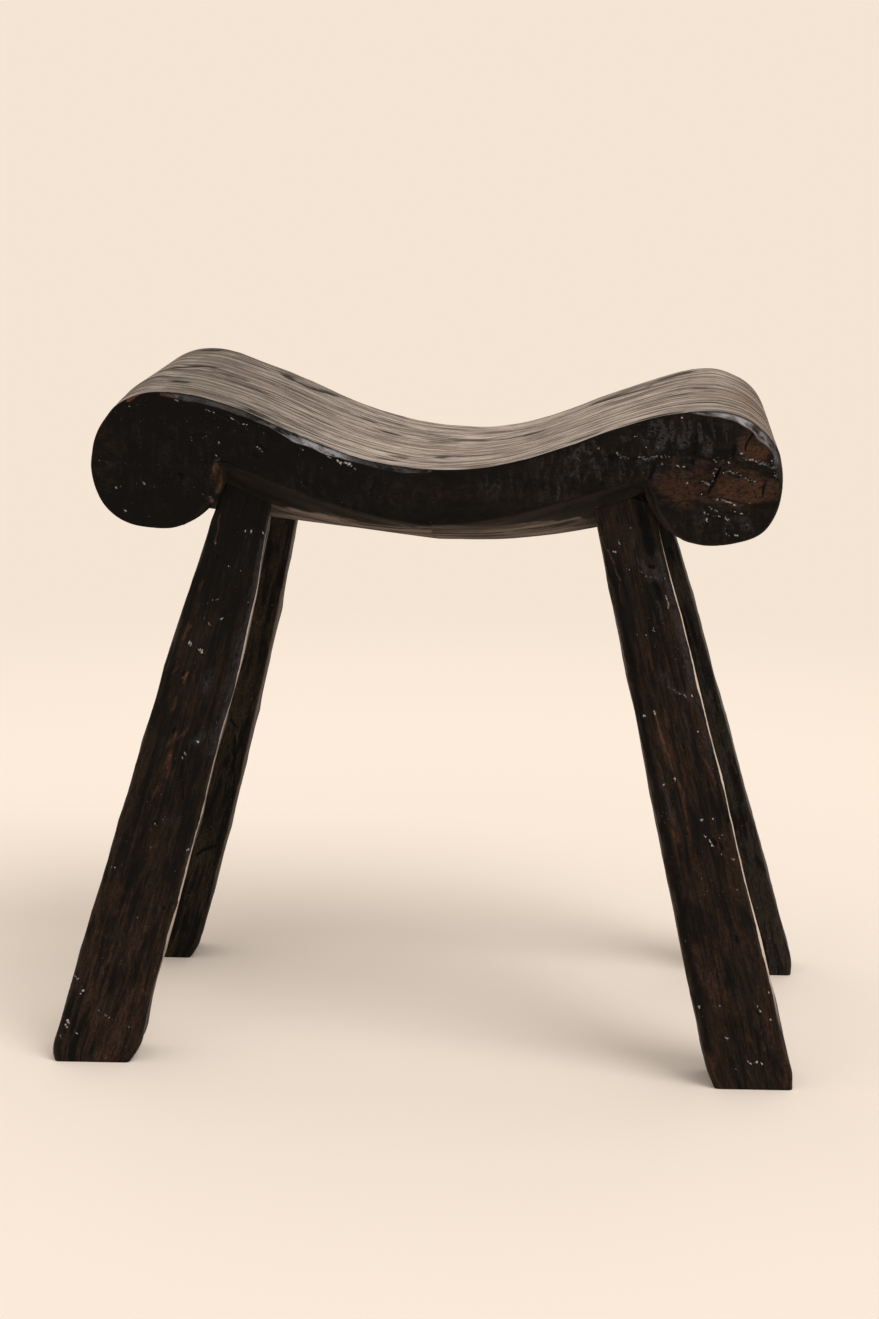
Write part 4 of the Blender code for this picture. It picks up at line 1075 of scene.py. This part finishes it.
def buildLegTree():
    tree, value, result = newGroup("legBody", {
        "Geometry": ["Geometry"], "Object": ["Seat"], "Vector": ["Shift"], "Material": ["Material"],
        "Float": [*planInputs, "Tenon height", "Edge bulge", "Head slide", "Toe", "Foot ease", *legCuts]})

    def pointAt(u, v, height):
        plan = {key: value[key] for key in planInputs}
        return useGroup(tree, legPoint, {"U": u, "V": v, "Height": height, **plan})

    # a bar of unit height with eased corners
    path = addNode(tree, "GeometryNodeCurvePrimitiveLine", {"Start": (0, 0, 0), "End": (0, 0, 1)})
    path = addNode(tree, "GeometryNodeResampleCurve", {"Curve": path.outputs[0], "Count": legSize["rings"]})
    sides = addNode(tree, "GeometryNodeCurvePrimitiveQuadrilateral",
                    {"Width": value["Foot width"], "Height": legSize["footThickness"]})
    eased = addNode(tree, "GeometryNodeFilletCurve",
                    {"Curve": sides.outputs[0], "Radius": legSize["cornerEase"], "Count": 4}, mode="POLY")
    eased = addNode(tree, "GeometryNodeResampleCurve",
                    {"Curve": eased.outputs[0], "Count": legSize["around"]})
    bar = addNode(tree, "GeometryNodeCurveToMesh",
                  {"Curve": path.outputs[0], "Profile Curve": eased.outputs[0], "Fill Caps": True})
    u, v, share = positions(tree)

    # each line of the bar runs on to the underside of the seat
    source = pointAt(u, v, value["Head height"] * 0.8)
    seat = addNode(tree, "GeometryNodeObjectInfo", {"Object": value["Seat"]})
    ray = addNode(tree, "GeometryNodeRaycast", {
        "Target Geometry": seat.outputs["Geometry"], "Source Position": source, "Ray Length": 0.3,
        "Ray Direction": vectorNode(tree, "SUBTRACT", pointAt(u, v, value["Head height"]), source)})
    height = share * (axes(tree, ray.outputs["Hit Position"])[2] - legSize["fit"])
    foot = (1.0 - (height / legSize["footEase"]).least(1.0)) ** 2.0 * legSize["footEase"]
    side = (1.0 - (height / legSize["footEaseRise"]).least(1.0)) ** 1.8 * value["Foot ease"]
    narrow = 1.0 - side * 2.0 / value["Foot width"]
    thin = 1.0 - foot * 2.0 / legSize["footThickness"]
    bulge = height.rise(0.20, 0.295) * height.rise(0.375, 0.315) * value["Edge bulge"]
    bulge = bulge + height.rise(0.05, 0.0) * value["Toe"]
    slide = height.rise(0.30, 0.385) * value["Head slide"]
    across, through = u / value["Foot width"] * 2.0, v / legSize["footThickness"] * 2.0
    corner = across.size().rise(0.86, 0.97) * through.size().rise(0.80, 0.95)
    marked = stored(tree, bar.outputs[0], "grainPlace", vectorField(tree, height, u, v), "FLOAT_VECTOR")
    marked = stored(tree, marked, "cornerWear", corner)
    place = pointAt(u * narrow + across.rise(0.2, 1.0) * bulge + slide, v * thin, height)
    shaped = addNode(tree, "GeometryNodeSetPosition", {"Geometry": marked, "Position": place})
    # tool cuts fade out at the shoulder and at the sole, which stay as cut
    z = positions(tree)[2]
    inside = z.rise(0.0, 5 * mm) * z.rise(value["Head height"] - 4 * mm, value["Head height"] - 22 * mm)
    cuts = {key: value[key] for key in ("Cut length", "Cut width", "Nick size", "Nick share", "Shift")}
    cuts.update({key: value[key] * inside for key in ("Cut depth", "Waviness", "Nick depth")})
    hewn = useGroup(tree, hewing, {"Geometry": shaped.outputs[0], **cuts,
                                   "Grain place": named(tree, "grainPlace", "FLOAT_VECTOR")})

    # blind tenon, flared towards its wedged end
    wide = legSize["tenon"]
    block = addNode(tree, "GeometryNodeMeshCube",
                    {"Size": (wide, wide, 1.0), "Vertices X": 5, "Vertices Y": 5, "Vertices Z": 9})
    a, b, c = positions(tree)
    rise = c + 0.5
    tall = value["Head height"] + rise * (value["Tenon height"] - value["Head height"])
    across, along = share.sum("COSINE", value["Turn"]), share.sum("SINE", value["Turn"])
    wide = a * (rise * (legSize["tenonFlare"] / legSize["tenon"]) + 1.0)
    spread = vectorField(tree, wide * across - b * along, wide * along + b * across, 0.0)
    tenon = addNode(tree, "GeometryNodeSetPosition", {
        "Geometry": block.outputs[0], "Position": vectorNode(tree, "ADD", pointAt(0.0, 0.0, tall), spread)})
    whole = tree.nodes.new("GeometryNodeJoinGeometry")
    for piece in (hewn, tenon.outputs[0]):
        tree.links.new(piece, whole.inputs[0])
    plug(tree, result, finishTree(tree, whole.outputs[0], value["Material"]))
    return tree


def tenonHeight(plan):
    x, y = plan["Side"] * (headOut - plan["Head width"] / 2), plan["Row"] * headBack
    return topHeight(x, y) - legSize["tenonCover"]


legTree = buildLegTree()
legs = []
for index, name in enumerate(legNames):
    plan = legPlans[name]
    legs.append(runTree("hewnLeg_" + name, linked("legBase", bpy.data.meshes.new("legBase")), legTree, {
        **plan, **legCuts, "Tenon height": tenonHeight(plan), "Seat": saddleSeat,
        "Shift": (0.9 * index + 0.2, 0.37 * index, 0.21 * index),
        "Material": buildLegWood(name, (1.3 * index, 0.7 * index, 0.4 * index))}))
print("legs built:", [len(leg.data.polygons) for leg in legs])


# Everything rides on the one body, and each new piece stands for its solid

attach(saddleSeat, "root")
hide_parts("seat")
for name, leg in zip(legNames, legs):
    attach(leg, "root")
    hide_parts("leg_" + name)
wedgeWood = buildWedgeWood()
for name in legNames:
    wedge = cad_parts["wedge_" + name]
    wedge.data.materials.clear()
    wedge.data.materials.append(wedgeWood)


# Studio: pale floor that runs into a pale background, soft light from the upper right front

studio = {
    "background": (0.912, 0.782, 0.655), "floor": (0.920, 0.806, 0.708), "cloud": (0.88, 0.75, 0.64),
    "floorReach": 4.0, "fadeFrom": 0.7, "fadeTo": 1.5, "sky": 0.79, "skyColour": (1, 0.958, 0.900),
    "sunStrength": 1.18, "sunSpread": radians(34), "sunColour": (0.98, 1, 1), "sunFrom": (0.55, -0.45, 1.0),
    "floorRough": 0.9, "floorShine": 0.1, "cloudShare": 0.05,
}


def seenDirectly(tree):
    # 1 for what the camera sees, also by reflection or through glass
    rays = tree.nodes.new("ShaderNodeLightPath")
    seen = Field(tree, rays.outputs["Is Camera Ray"]).most(rays.outputs["Is Glossy Ray"])
    return seen.most(rays.outputs["Is Transmission Ray"])


def buildFloor():
    material, tree, shader = newMaterial("paleStudioFloor")
    place = addNode(tree, "ShaderNodeTexCoord").outputs["Object"]
    away = Field(tree, vectorNode(tree, "LENGTH", place, out=1))
    cloud = noiseField(tree, place, (2, 2, 2), 2.0)
    colour = mixColour(tree, cloud * studio["cloudShare"], studio["floor"], studio["cloud"])
    plug(tree, shader.inputs["Base Color"], colour)
    shader.inputs["Roughness"].default_value = studio["floorRough"]
    shader.inputs["Specular IOR Level"].default_value = studio["floorShine"]
    glow = addNode(tree, "ShaderNodeEmission", {"Color": (*studio["background"], 1), "Strength": 1.0})
    share = away.rise(studio["fadeFrom"], studio["fadeTo"]) * seenDirectly(tree)
    both = addNode(tree, "ShaderNodeMixShader", {0: share, 1: shader.outputs[0], 2: glow.outputs[0]})
    plug(tree, tree.nodes["Material Output"].inputs["Surface"], both.outputs[0])
    reach = studio["floorReach"]
    mesh = bpy.data.meshes.new("studioFloor")
    corners = [(x * reach, y * reach, 0) for x, y in ((-1, -1), (1, -1), (1, 1), (-1, 1))]
    mesh.from_pydata(corners, [], [(0, 1, 2, 3)])
    mesh.materials.append(material)
    linked("studioFloor", mesh)


def buildWorld():
    world = bpy.data.worlds.new("paleStudio")
    world.use_nodes = True
    tree = world.node_tree
    light = tree.nodes["Background"]
    light.inputs["Color"].default_value = (*studio["skyColour"], 1)
    light.inputs["Strength"].default_value = studio["sky"]
    shown = addNode(tree, "ShaderNodeBackground", {"Color": (*studio["background"], 1), "Strength": 1.0})
    both = addNode(tree, "ShaderNodeMixShader",
                   {0: seenDirectly(tree), 1: light.outputs[0], 2: shown.outputs[0]})
    plug(tree, tree.nodes["World Output"].inputs["Surface"], both.outputs[0])
    bpy.context.scene.world = world


def buildLight():
    data = bpy.data.lights.new("softKey", "SUN")
    data.energy, data.angle, data.color = studio["sunStrength"], studio["sunSpread"], studio["sunColour"]
    linked("softKey", data).rotation_euler = Vector(studio["sunFrom"]).to_track_quat("Z", "Y").to_euler()


# Camera as the photograph was taken: a long lens, looking slightly down from the right of the middle
photoView = {"focal": 2800, "longSide": 1319, "sensor": 36.0, "yaw": -0.080229, "pitch": 0.218707,
             "roll": 0.017659, "place": (147.55 * mm, -1897.16 * mm, 677.06 * mm)}


def buildCamera():
    yaw, pitch, roll = photoView["yaw"], photoView["pitch"], photoView["roll"]
    ahead = Vector((sin(yaw) * cos(pitch), cos(yaw) * cos(pitch), -sin(pitch)))
    level = ahead.cross(Vector((0, 0, 1))).normalized()
    upright = level.cross(ahead)
    right = cos(roll) * level + sin(roll) * upright
    up = cos(roll) * upright - sin(roll) * level
    data = bpy.data.cameras.new("photoCamera")
    data.sensor_width = photoView["sensor"]
    data.lens = photoView["focal"] / photoView["longSide"] * photoView["sensor"]
    camera = linked("photoCamera", data)
    turn = Matrix((right, up, -ahead)).transposed()
    camera.matrix_world = Matrix.Translation(photoView["place"]) @ turn.to_4x4()
    bpy.context.scene.camera = camera


buildFloor()
buildWorld()
buildLight()
buildCamera()
bpy.context.scene.view_settings.view_transform = "Standard"
print("studio built")
